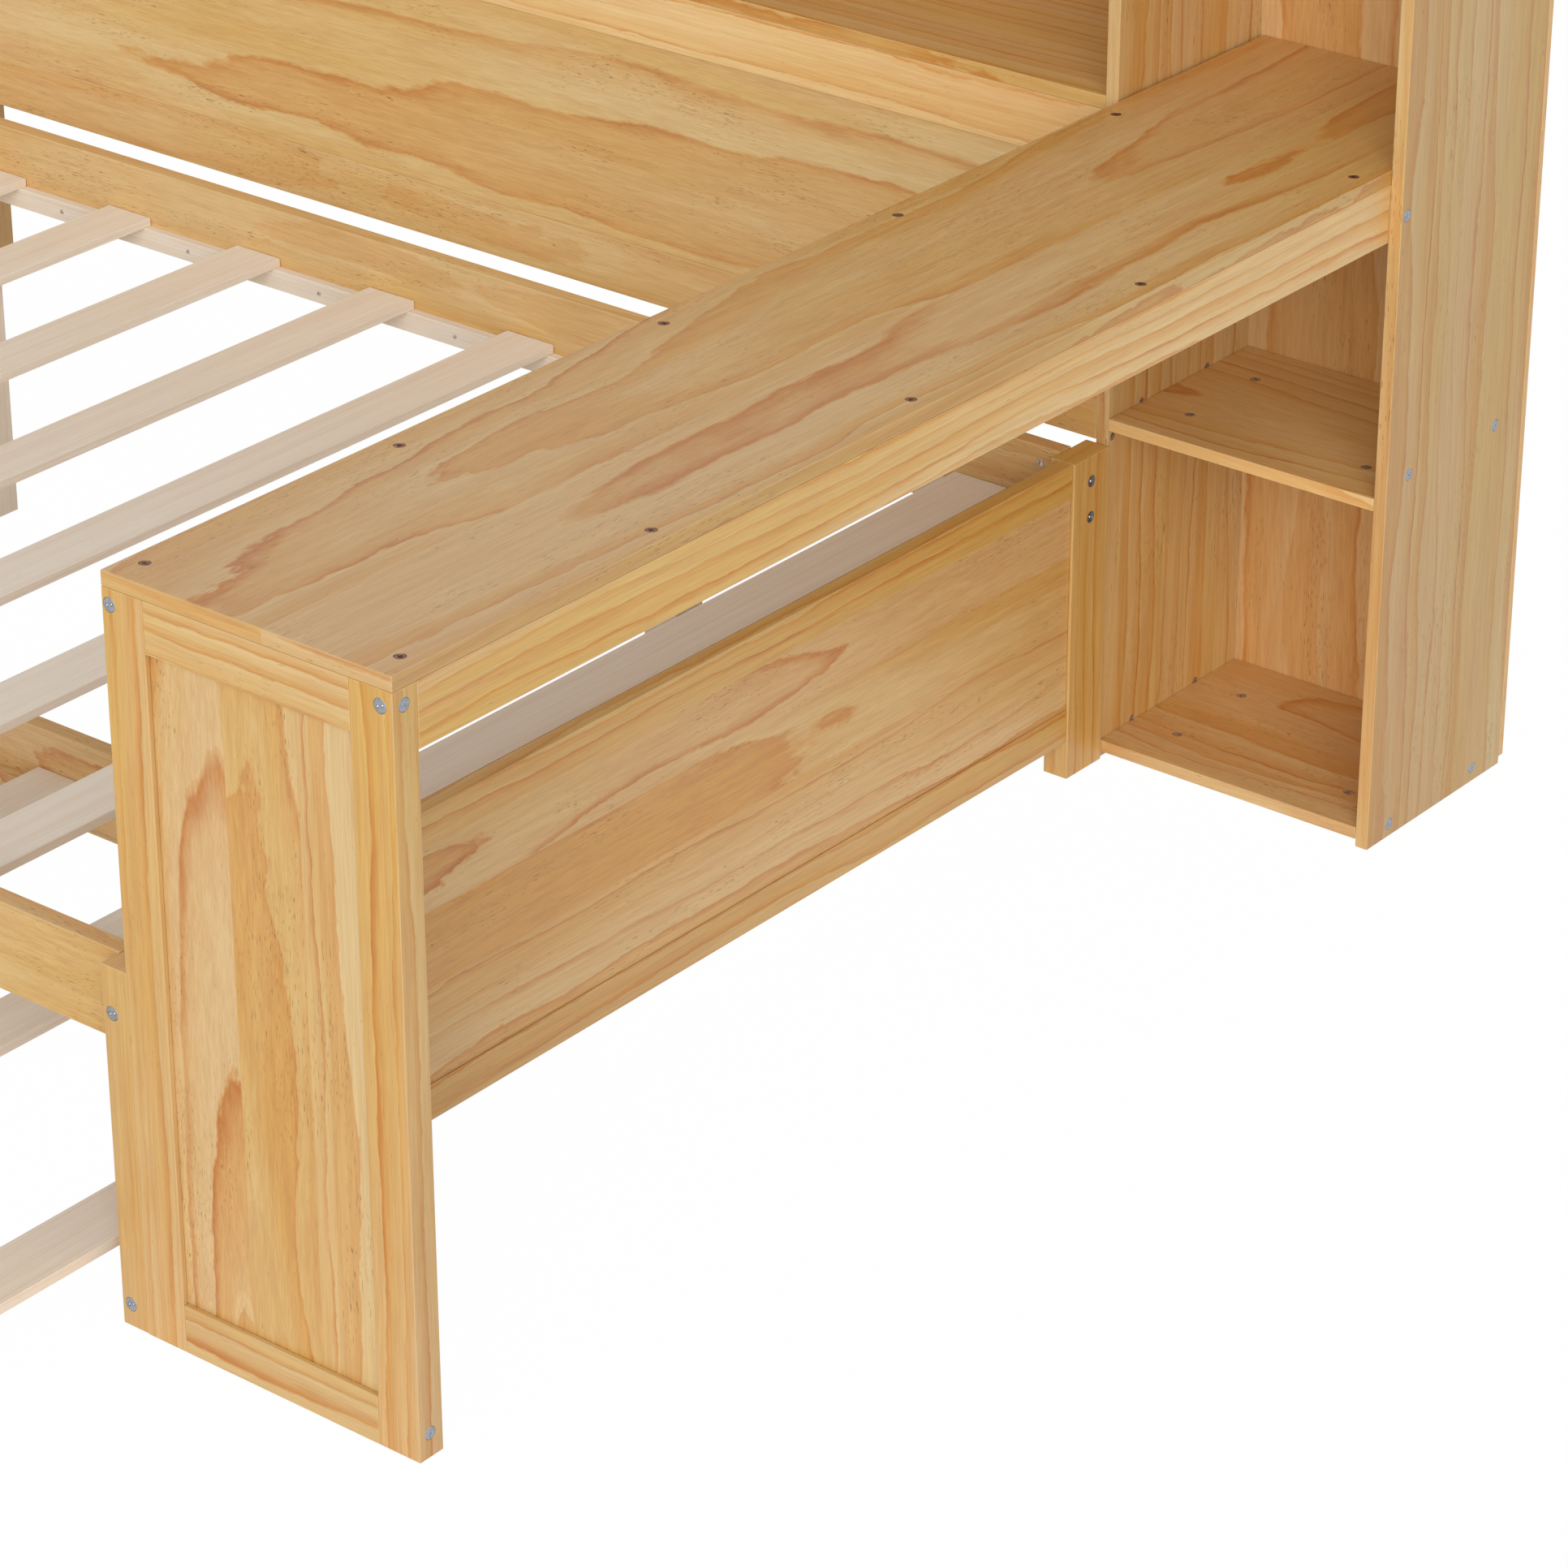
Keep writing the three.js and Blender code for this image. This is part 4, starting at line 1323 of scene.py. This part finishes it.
@dataclass
class BedBase(SubAssembly):
    """The bed's rails, cleats, slats and support legs.

    Attributes:
        slat_count: how many slats there are.
        leg_count: how many support legs.
        rail_nut_inset: how far the nuts in the back rail's inner face are from its ends.
        rail_nut_height: how high they are.
    """

    slat_count: int = 9
    leg_count: int = 2
    rail_nut_inset: float = 0.0265
    rail_nut_height: float = 0.3545

    def boards(self) -> list[Board]:
        """Lists the boards."""
        rails = [
            Board("bed_rail_front", FIGURED_PINE, Sawing.FLAT, ease=RAIL_EASE, tones=(Tone(0.55),)),
            Board("bed_rail_back", BROAD_PINE, Sawing.FLAT, ease=RAIL_EASE,
                  tones=(Tone(0.1, pinkness=0.1),)),
        ]
        cleats = [Board(f"bed_cleat_{side}", PALE_SOFTWOOD, ease=CLEAT_EASE) for side in ("front", "back")]
        slats = [
            Board(f"bed_slat_{i + 1}", PALE_SOFTWOOD, ease=SLAT_EASE, tones=(Tone(0.2, pinkness=0.1),))
            for i in range(self.slat_count)
        ]
        legs = [Board(f"bed_leg_{i + 1}", PALE_SOFTWOOD) for i in range(self.leg_count)]
        return rails + cleats + slats + legs

    def fastenings(self) -> list[Fastening]:
        """Lists the screws that hold the cleats, between slats, and the nuts near the back rail's ends."""
        middles = [sum(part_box(f"bed_slat_{i + 1}"), Vector()).x / 2 for i in range(self.slat_count)]
        between = [(a + b) / 2 for a, b in zip(middles, middles[1:])]
        made = []
        for side, facing in (("front", BACKWARD), ("back", FORWARD)):
            cleat = f"bed_cleat_{side}"
            low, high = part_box(cleat)
            face = high.y if side == "front" else low.y
            places = [Vector((x, face, (low.z + high.z) / 2)) for x in between]
            made.append(Fastening(f"bed_cleat_screws_{side}", cleat, PAN_SCREW, facing, places))
        low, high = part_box("bed_rail_back")
        ends = (low.x + self.rail_nut_inset, high.x - self.rail_nut_inset)
        places = [Vector((x, low.y, self.rail_nut_height)) for x in ends]
        made.append(Fastening("bed_rail_back_nuts", "bed_rail_back", DOWEL_NUT, FORWARD, places))
        return made


@dataclass
class BedEnd(SubAssembly):
    """One end of the bed.

    Attributes:
        side: which end it is.
        bolt_heights: how high the bolts are in the front post's front face.
        bolt_inset: how far they are from its outer face.
        side_bolt_heights: how high the bolts are in the rear post's outer face.
    """

    side: Side = Side.RIGHT
    bolt_heights: tuple[float, ...] = (0.0236, 0.3256)
    bolt_inset: float = 0.0203
    side_bolt_heights: tuple[float, ...] = (0.3018, 0.3435)

    @property
    def name(self) -> str:
        """What the names of its solids start with."""
        return f"end_{self.side.value}"

    def boards(self) -> list[Board]:
        """Lists the boards."""
        posts = [
            Board(f"{self.name}_post_{place}", STRAIGHT_PINE, ease=RAIL_EASE)
            for place in ("front", "back")
        ]
        if self.side is Side.LEFT:
            return [*posts, Board(f"{self.name}_board", FIGURED_PINE, Sawing.FLAT)]
        rails = [Board(f"{self.name}_rail_{place}", STRAIGHT_PINE) for place in ("top", "bottom")]
        return [*posts, *rails, self.panel()]

    def panel(self) -> Board:
        """Gives the panel, glued up from three strips."""
        logs = (
            LogPlace(aside=0.250, below=0.090, climb=0.010, start=47.1),
            LogPlace(aside=-0.010, below=0.1048, climb=0.040, start=24.22),
            LogPlace(aside=-0.0945, below=0.0534, climb=0.040, start=23.41),
        )
        tones = (Tone(0.2, pinkness=0.3), Tone(0.6, pinkness=0.1), Tone(0.4, pinkness=0.2))
        return Board(f"{self.name}_panel", FIGURED_PINE, Sawing.FLAT, logs, glue_lines=(0.108, 0.188),
                     tones=tones)

    def fastenings(self) -> list[Fastening]:
        """Lists the bolts in the posts."""
        front, back = f"{self.name}_post_front", f"{self.name}_post_back"
        outward = self.side.outward
        low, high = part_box(front)
        across = self.side.outer(low, high) - self.bolt_inset * outward.x
        faces = [Vector((across, low.y, height)) for height in self.bolt_heights]
        low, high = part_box(back)
        outer = self.side.outer(low, high)
        sides = [Vector((outer, (low.y + high.y) / 2, height)) for height in self.side_bolt_heights]
        return [
            Fastening(f"{front}_bolts", front, PIN_BOLT, FORWARD, faces, PIN_SPIN),
            Fastening(f"{back}_bolts", back, CUP_BOLT, outward, sides),
        ]


@dataclass
class Desk(SubAssembly):
    """The desk: its leg, aprons, cross rail and top.

    Attributes:
        screw_inset: how far the top's screws are from its long edges.
        screw_rows: how far behind its front edge they are.
        left_bolt_inset: how far the leg's left bolt is from its left side.
        right_bolt_inset: how far its other bolts are from its right side or its front.
        bolt_height: how high the leg's upper bolts are.
        foot_bolt_height: how high the lower bolt in the leg's side is.
    """

    screw_inset: float = 0.0205
    screw_rows: tuple[float, ...] = (0.033, 0.351, 0.716, 1.074, 1.441)
    left_bolt_inset: float = 0.0085
    right_bolt_inset: float = 0.014
    bolt_height: float = 0.7315
    foot_bolt_height: float = 0.025

    def boards(self) -> list[Board]:
        """Lists the boards."""
        # the stiles' narrow side faces are drawn darker: painted shade of faces that get less light than
        # the front
        stiles = [
            Board(f"desk_stile_{side}", STRAIGHT_PINE, tones=(Tone(0.55, pinkness=0.3),),
                  shift=Tone(0.9, pinkness=-0.9), edges=Tone(-0.2, pinkness=0.1, darkness_and_shade=0.08))
            for side in ("left", "right")
        ]
        rails = [
            Board("desk_rail_top", STRAIGHT_PINE, tones=(Tone(0.1),)),
            Board("desk_rail_bottom", STRAIGHT_PINE, tones=(Tone(0.15, darkness_and_shade=0.08),)),
        ]
        aprons = [
            Board(f"desk_apron_{side}", LINED_PINE, tones=(Tone(0.5, pinkness=0.2),),
                  shift=Tone(-0.5, pinkness=0.4))
            for side in ("left", "right")
        ]
        return [*stiles, *rails, *aprons, Board("desk_cross_rail", STRAIGHT_PINE), self.panel(), self.top()]

    def panel(self) -> Board:
        """Gives the leg's panel, glued up from three strips."""
        logs = (
            LogPlace(aside=0.045, below=0.0546, climb=0.10, start=42.3),
            LogPlace(aside=0.030, below=0.1136, climb=0.06, start=57.6),
            LogPlace(aside=0.160, below=0.090, climb=-0.01, start=47.1),
        )
        tones = (Tone(0.25), Tone(0.6), Tone(0.05))
        return Board("desk_panel", FIGURED_PINE, Sawing.FLAT, logs, glue_lines=(0.087, 0.172), tones=tones)

    def top(self) -> Board:
        """Gives the desk top, glued up from two strips that run to the tower's back."""
        logs = (
            LogPlace(aside=0.060, below=0.085, climb=-0.05, start=33.3),
            LogPlace(aside=-0.060, below=0.054, climb=-0.03, start=42.2),
        )
        tones = (Tone(0.5, pinkness=0.22, darkness_and_shade=0.04), Tone(0.42, pinkness=0.25, darkness_and_shade=0.04))
        # the top's side edges are drawn darker: painted shade of faces that get less light
        return Board("desk_top", FIGURED_PINE, Sawing.FLAT, logs, glue_lines=(0.186,), ease=TOP_EASE,
                     tones=tones, shift=Tone(0.7, pinkness=-0.3),
                     edges=Tone(0.5, pinkness=-0.5, darkness_and_shade=0.13), grain=Y_AXIS)

    def fastenings(self) -> list[Fastening]:
        """Lists the screws in the top and the bolts in the leg."""
        low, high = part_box("desk_top")
        columns = (low.x + self.screw_inset, high.x - self.screw_inset)
        screws = [Vector((x, low.y + row, high.z)) for x in columns for row in self.screw_rows]
        made = [Fastening("desk_top_screws", "desk_top", SUNK_SCREW, UPWARD, screws)]
        stile = "desk_stile_left"
        low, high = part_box(stile)
        place = Vector((low.x + self.left_bolt_inset, low.y, self.bolt_height))
        made.append(Fastening(f"{stile}_bolts", stile, PIN_BOLT, FORWARD, [place], PIN_SPIN))
        stile = "desk_stile_right"
        low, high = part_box(stile)
        place = Vector((high.x - self.right_bolt_inset, low.y, self.bolt_height))
        made.append(Fastening(f"{stile}_bolts", stile, PIN_BOLT, FORWARD, [place], PIN_SPIN))
        heights = (self.bolt_height, self.foot_bolt_height)
        places = [Vector((high.x, low.y + self.right_bolt_inset, height)) for height in heights]
        made.append(Fastening("desk_side_bolts", stile, CAP_BOLT, RIGHTWARD, places))
        return made


@dataclass
class Tower(SubAssembly):
    """The tower of the bookcase.

    Attributes:
        side_bolts: how far behind the front edge of its right side and how high each bolt there is.
        inner_nuts: the same for the nuts in its left side's inner face, each half hidden by its shelf.
        lone_bolt: the same for the bolt there that stands in the open.
        nut_left_inset: how far the barrel nuts are from a shelf's left end.
        nut_right_inset: how far they are from its right end.
        nut_rows: how far behind a shelf's front edge they are.
    """

    side_bolts: tuple[tuple[float, float], ...] = (
        (0.0097, 0.7147), (0.0415, 0.4208), (0.2084, 0.4202), (0.0415, 0.0151), (0.2062, 0.0167))
    inner_nuts: tuple[tuple[float, float], ...] = (
        (0.061, 0.404), (0.184, 0.404), (0.062, 0.024), (0.184, 0.024))
    lone_bolt: tuple[float, float] = (0.008, 0.3807)
    nut_left_inset: float = 0.060
    nut_right_inset: float = 0.051
    nut_rows: tuple[float, ...] = (0.0645, 0.1885)

    def boards(self) -> list[Board]:
        """Lists the boards."""
        right_log = LogPlace(aside=0.21, below=0.06, climb=0.01, start=17.5)
        middle_log = LogPlace(aside=0.02, below=0.06, climb=0.06, start=33.3)
        return [
            # the right side is drawn darker on its wide faces, and its front edge less so: painted shade of
            # a face that gets less light
            Board("tower_side_right", FIGURED_PINE, logs=(right_log,), ease=SIDE_EASE,
                  tones=(Tone(0.5, darkness_and_shade=0.22),), edges=Tone(-0.5, darkness_and_shade=-0.2)),
            Board("tower_side_left", FIGURED_PINE, ease=SIDE_EASE, tones=(Tone(0.3, darkness_and_shade=0.02),),
                  shift=Tone(0.0, pinkness=0.1, darkness_and_shade=0.12)),
            Board("tower_shelf_bottom", FIGURED_PINE, Sawing.FLAT, tones=(Tone(0.3, pinkness=0.2),),
                  grain=X_AXIS),
            # the middle shelf is drawn paler: painted light against the shade under the desk top
            Board("tower_shelf_middle", LIGHTENED_PINE, Sawing.FLAT, (middle_log,), tones=(Tone(0.2),),
                  grain=X_AXIS),
            Board("tower_back", BROAD_PINE, Sawing.FLAT, tones=(Tone(0.2, pinkness=0.5),)),
        ]

    def fastenings(self) -> list[Fastening]:
        """Lists the bolts in the right side, the nuts in the left one and those in the shelves."""
        made = []
        for name, side, fastener, spots in (
                ("tower_side_bolts", "tower_side_right", CAP_BOLT, self.side_bolts),
                ("tower_inner_nuts", "tower_side_left", DOWEL_NUT, self.inner_nuts),
                ("tower_lone_bolt", "tower_side_left", DOWEL_NUT, (self.lone_bolt,))):
            low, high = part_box(side)
            places = [Vector((high.x, low.y + back, height)) for back, height in spots]
            made.append(Fastening(name, side, fastener, RIGHTWARD, places))
        for shelf in ("tower_shelf_bottom", "tower_shelf_middle"):
            low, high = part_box(shelf)
            columns = (low.x + self.nut_left_inset, high.x - self.nut_right_inset)
            places = [Vector((x, low.y + row, high.z)) for x in columns for row in self.nut_rows]
            made.append(Fastening(f"{shelf}_nuts", shelf, BARREL_NUT, UPWARD, places))
        return made


@dataclass
class Hutch(SubAssembly):
    """The hutch over the bed's back, and the board over hutch and tower."""

    def boards(self) -> list[Board]:
        """Lists the boards."""
        panel_log = LogPlace(aside=0.043, below=0.0715, climb=-0.05, start=43.2)
        return [
            Board("hutch_rail_top", LIGHTENED_PINE, tones=(Tone(0.3),)),
            Board("hutch_rail_bottom", BROAD_PINE, Sawing.FLAT, tones=(Tone(0.25),)),
            Board("hutch_panel", BROAD_PINE, Sawing.FLAT, (panel_log,), tones=(Tone(0.25),)),
            # the back is drawn darker: painted shade in the recess under the hutch shelf
            Board("hutch_back", FIGURED_PINE, Sawing.FLAT, tones=(Tone(0.4, pinkness=0.5, darkness_and_shade=0.1),)),
            # the shelf is drawn a little darker: painted shade inside the hutch
            Board("hutch_shelf", STRAIGHT_PINE, tones=(Tone(0.8, pinkness=0.2, darkness_and_shade=0.05),)),
            Board("hutch_side_left", FIGURED_PINE),
            Board("hutch_divider", FIGURED_PINE),
            Board("bookcase_top", FIGURED_PINE, Sawing.FLAT, ease=TOP_EASE),
        ]


@dataclass(frozen=True)
class WheelShape:
    """The turned section of a trundle wheel.

    Attributes:
        bore: the radius of the hole for its axle.
        hub: the radius of its hub.
        rim: how thick its rim is.
        web_sink: how far its web lies inside its faces.
        draft: how far the hub and the rim widen towards the web.
        ease: how wide the tread's edges are rounded.
        ease_steps: how many faces round such an edge.
        sides: how many sides its rounds have.
    """

    bore: float = 5.3 * MM
    hub: float = 10.0 * MM
    rim: float = 6.0 * MM
    web_sink: float = 4.0 * MM
    draft: float = 1.0 * MM
    ease: float = 1.5 * MM
    ease_steps: int = 3
    sides: int = 64

    def section(self, radius: float, half: float) -> list[tuple[float, float]]:
        """Draws the outline of the wheel's rim, web and hub on one side of its axle.

        Args:
            radius: the wheel's radius.
            half: half its width.

        Returns:
            Each point's distance from the axle and its place along it.
        """
        inner, web = radius - self.rim, half - self.web_sink
        turns = [math.radians(90 * step / self.ease_steps) for step in range(self.ease_steps + 1)]
        one_side = [
            (self.bore, -half),
            (self.hub, -half),
            (self.hub + self.draft, -web),
            (inner - self.draft, -web),
            (inner, -half),
            *((radius - self.ease + self.ease * math.sin(a), -half + self.ease - self.ease * math.cos(a))
              for a in turns),
        ]
        return one_side + [(r, -x) for r, x in reversed(one_side)]

    def mesh(self, name: str, low: Vector, high: Vector) -> bpy.types.Mesh:
        """Turns the wheel.

        Args:
            name: the mesh's name.
            low: the lowest corner of the wheel's box.
            high: its highest corner.

        Returns:
            The mesh, in the frame's own coordinates.
        """
        section = self.section((high.z - low.z) / 2, (high.x - low.x) / 2)
        shape = bmesh.new()
        ring = [shape.verts.new((x, 0, r)) for r, x in section]
        edges = [shape.edges.new((a, b)) for a, b in zip(ring, ring[1:] + ring[:1])]
        bmesh.ops.spin(shape, geom=ring + edges, axis=(1, 0, 0), cent=(0, 0, 0), angle=math.tau,
                       steps=self.sides, use_merge=True)
        bmesh.ops.remove_doubles(shape, verts=shape.verts, dist=MERGE_DISTANCE)
        bmesh.ops.recalc_face_normals(shape, faces=shape.faces)
        settle_order(shape)
        made = bpy.data.meshes.new(name)
        shape.to_mesh(made)
        shape.free()
        made.transform(Matrix.Translation((low + high) / 2))
        made.shade_smooth()
        made.set_sharp_from_angle(angle=SHARP_ANGLE)
        return made


@dataclass
class Trundle(SubAssembly):
    """The trundle: rails, slats, axle bars and wheels.

    Attributes:
        slat_count: how many slats it has.
        bar_ease: how wide the edges of its axle bars are rounded.
        wheel: the shape of its wheels.
    """

    slat_count: int = 7
    bar_ease: float = 0.4 * MM
    wheel: WheelShape = WheelShape()

    def boards(self) -> list[Board]:
        """Lists the boards."""
        rails = [
            Board(f"trundle_rail_{side}", FIGURED_PINE, Sawing.FLAT, ease=RAIL_EASE)
            for side in ("front", "back")
        ]
        slats = [
            Board(f"trundle_slat_{i + 1}", PALE_SOFTWOOD, ease=SLAT_EASE)
            for i in range(self.slat_count)
        ]
        return rails + slats

    def build(self, workshop: Workshop) -> None:
        """Makes every piece and reports it.

        Args:
            workshop: gives the materials.
        """
        super().build(workshop)
        for side in ("right", "left"):
            bar = f"trundle_axle_bar_{side}"
            self.stand_in(bar, "steel", eased_copy(bar, self.bar_ease), BAR_STEEL, workshop)
            for place in ("front", "back"):
                wheel = f"trundle_wheel_{place}_{side}"
                mesh = self.wheel.mesh(wheel, *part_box(wheel))
                self.stand_in(wheel, "nylon", mesh, WHEEL_NYLON, workshop)

    def stand_in(self, node: str, ending: str, mesh: bpy.types.Mesh, finish: HardFinish,
                 workshop: Workshop) -> None:
        """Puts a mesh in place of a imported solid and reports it.

        Args:
            node: the solid.
            ending: what the piece's name has after the solid's.
            mesh: the piece's mesh.
            finish: its finish.
            workshop: gives the material.
        """
        mesh.materials.clear()
        mesh.materials.append(workshop.material(finish))
        piece = put_in_scene(f"{node}_{ending}", mesh, body_of(node))
        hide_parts(node)
        REPORT.info("Trundle: %s", piece.name)


@dataclass(frozen=True)
class PhotoCamera:
    """The camera, placed as the photograph's was.

    Attributes:
        place: where it stands.
        pitch: how far it looks down, in degrees.
        heading: how far it looks to the left of square to the bookcase, in degrees.
        focal_pixels: its focal length in the photograph's pixels.
        frame_pixels: how wide the photograph is.
        sensor: its sensor's width in millimetres.
    """

    place: tuple[float, float, float] = (3.81595, -3.51255, 2.6458)
    pitch: float = 27.086
    heading: float = 38.634
    focal_pixels: float = 6584.35
    frame_pixels: int = 1932
    sensor: float = 36.0

    def build(self) -> None:
        """Puts the camera in the scene."""
        data = bpy.data.cameras.new("camera")
        data.sensor_width = self.sensor
        data.lens = self.focal_pixels * self.sensor / self.frame_pixels
        camera = bpy.data.objects.new("camera", data)
        camera.location = self.place
        camera.rotation_euler = (math.radians(90 - self.pitch), 0, math.radians(self.heading))
        bpy.context.scene.collection.objects.link(camera)
        bpy.context.scene.camera = camera


@dataclass(frozen=True)
class Studio:
    """A white studio: a floor, light from all round and a soft lamp by the camera.

    Attributes:
        horizon: how bright the light from all round is at its foot.
        zenith: how bright it is overhead.
        key: how bright the lamp is.
        key_spread: how wide the lamp looks, in degrees.
        key_heading: how far the lamp looks to the left of square to the bookcase, in degrees.
        key_height: how far it looks down, in degrees.
        floor_size: how wide the floor is.
        floor_colour: the floor's own colour.
        floor_white: how much of the floor is the background's white.
        floor_roughness: how rough the floor is.
    """

    horizon: float = 0.3
    zenith: float = 0.6
    key: float = 1.86
    key_spread: float = 48.0
    key_heading: float = 36.0
    key_height: float = 22.0
    floor_size: float = 60.0
    floor_colour: str = "FCFCFC"
    floor_white: float = 0.99
    floor_roughness: float = 0.9

    def build(self) -> None:
        """Puts the floor, the surround and the lamp in the scene."""
        self.light_surround()
        self.lay_floor()
        sun = bpy.data.lights.new("key", "SUN")
        sun.energy = self.key
        sun.angle = math.radians(self.key_spread)
        lamp = bpy.data.objects.new("key", sun)
        lamp.rotation_euler = (math.radians(90 - self.key_height), 0, math.radians(self.key_heading))
        bpy.context.scene.collection.objects.link(lamp)

    def light_surround(self) -> None:
        """Makes the world: light for the object, and plain white behind it."""
        world = bpy.data.worlds.new("studio")
        world.use_nodes = True
        bpy.context.scene.world = world
        w = Wiring(world.node_tree)
        lit = world.node_tree.nodes["Background"]
        lit.inputs["Color"].default_value = WHITE
        height = w.split(w.node("ShaderNodeTexCoord").outputs["Generated"])[2]
        w.feed(lit.inputs["Strength"], w.ease(height, 0.0, 1.0, self.horizon, self.zenith, "LINEAR"))
        white = w.node("ShaderNodeBackground")
        white.inputs["Color"].default_value = WHITE
        white.inputs["Strength"].default_value = 1.0
        mixed = w.node("ShaderNodeMixShader")
        w.feed(mixed.inputs[0], self.seen(w))
        w.feed(mixed.inputs[1], lit.outputs[0])
        w.feed(mixed.inputs[2], white.outputs[0])
        w.feed(world.node_tree.nodes["World Output"].inputs["Surface"], mixed.outputs[0])

    def seen(self, w: Wiring) -> bpy.types.NodeSocket:
        """Gives 1 for rays that show the background, straight, mirrored or through glass."""
        rays = w.node("ShaderNodeLightPath")
        straight = rays.outputs["Is Camera Ray"]
        mirrored = rays.outputs["Is Glossy Ray"]
        through = rays.outputs["Is Transmission Ray"]
        return w.math("MAXIMUM", w.math("MAXIMUM", straight, mirrored), through)

    def lay_floor(self) -> None:
        """Lays a pale floor that shows nearly white and still takes the object's shadow."""
        half = self.floor_size / 2
        mesh = bpy.data.meshes.new("floor")
        corners = [(-half, -half, 0), (half, -half, 0), (half, half, 0), (-half, half, 0)]
        mesh.from_pydata(corners, [], [(0, 1, 2, 3)])
        material = bpy.data.materials.new("studio_floor")
        material.use_nodes = True
        w = Wiring(material.node_tree)
        surface = material.node_tree.nodes["Principled BSDF"]
        surface.inputs["Base Color"].default_value = linear(self.floor_colour)
        surface.inputs["Roughness"].default_value = self.floor_roughness
        surface.inputs["Specular IOR Level"].default_value = 0.0
        glow = w.node("ShaderNodeEmission")
        mixed = w.node("ShaderNodeMixShader")
        w.feed(mixed.inputs[0], w.math("MULTIPLY", self.seen(w), self.floor_white))
        w.feed(mixed.inputs[1], surface.outputs[0])
        w.feed(mixed.inputs[2], glow.outputs[0])
        w.feed(material.node_tree.nodes["Material Output"].inputs["Surface"], mixed.outputs[0])
        mesh.materials.append(material)
        floor = bpy.data.objects.new("floor", mesh)
        bpy.context.scene.collection.objects.link(floor)


def main() -> None:
    """Builds the camera, the studio and each sub-assembly."""
    logging.basicConfig(level=logging.INFO, format="%(name)s: %(message)s")
    bpy.context.scene.view_settings.view_transform = "Standard"
    PhotoCamera().build()
    Studio().build()
    workshop = Workshop()
    for part in (BedBase(), BedEnd(Side.RIGHT), BedEnd(Side.LEFT), Desk(), Tower(), Hutch(), Trundle()):
        part.build(workshop)


if __name__ == "__main__":
    main()
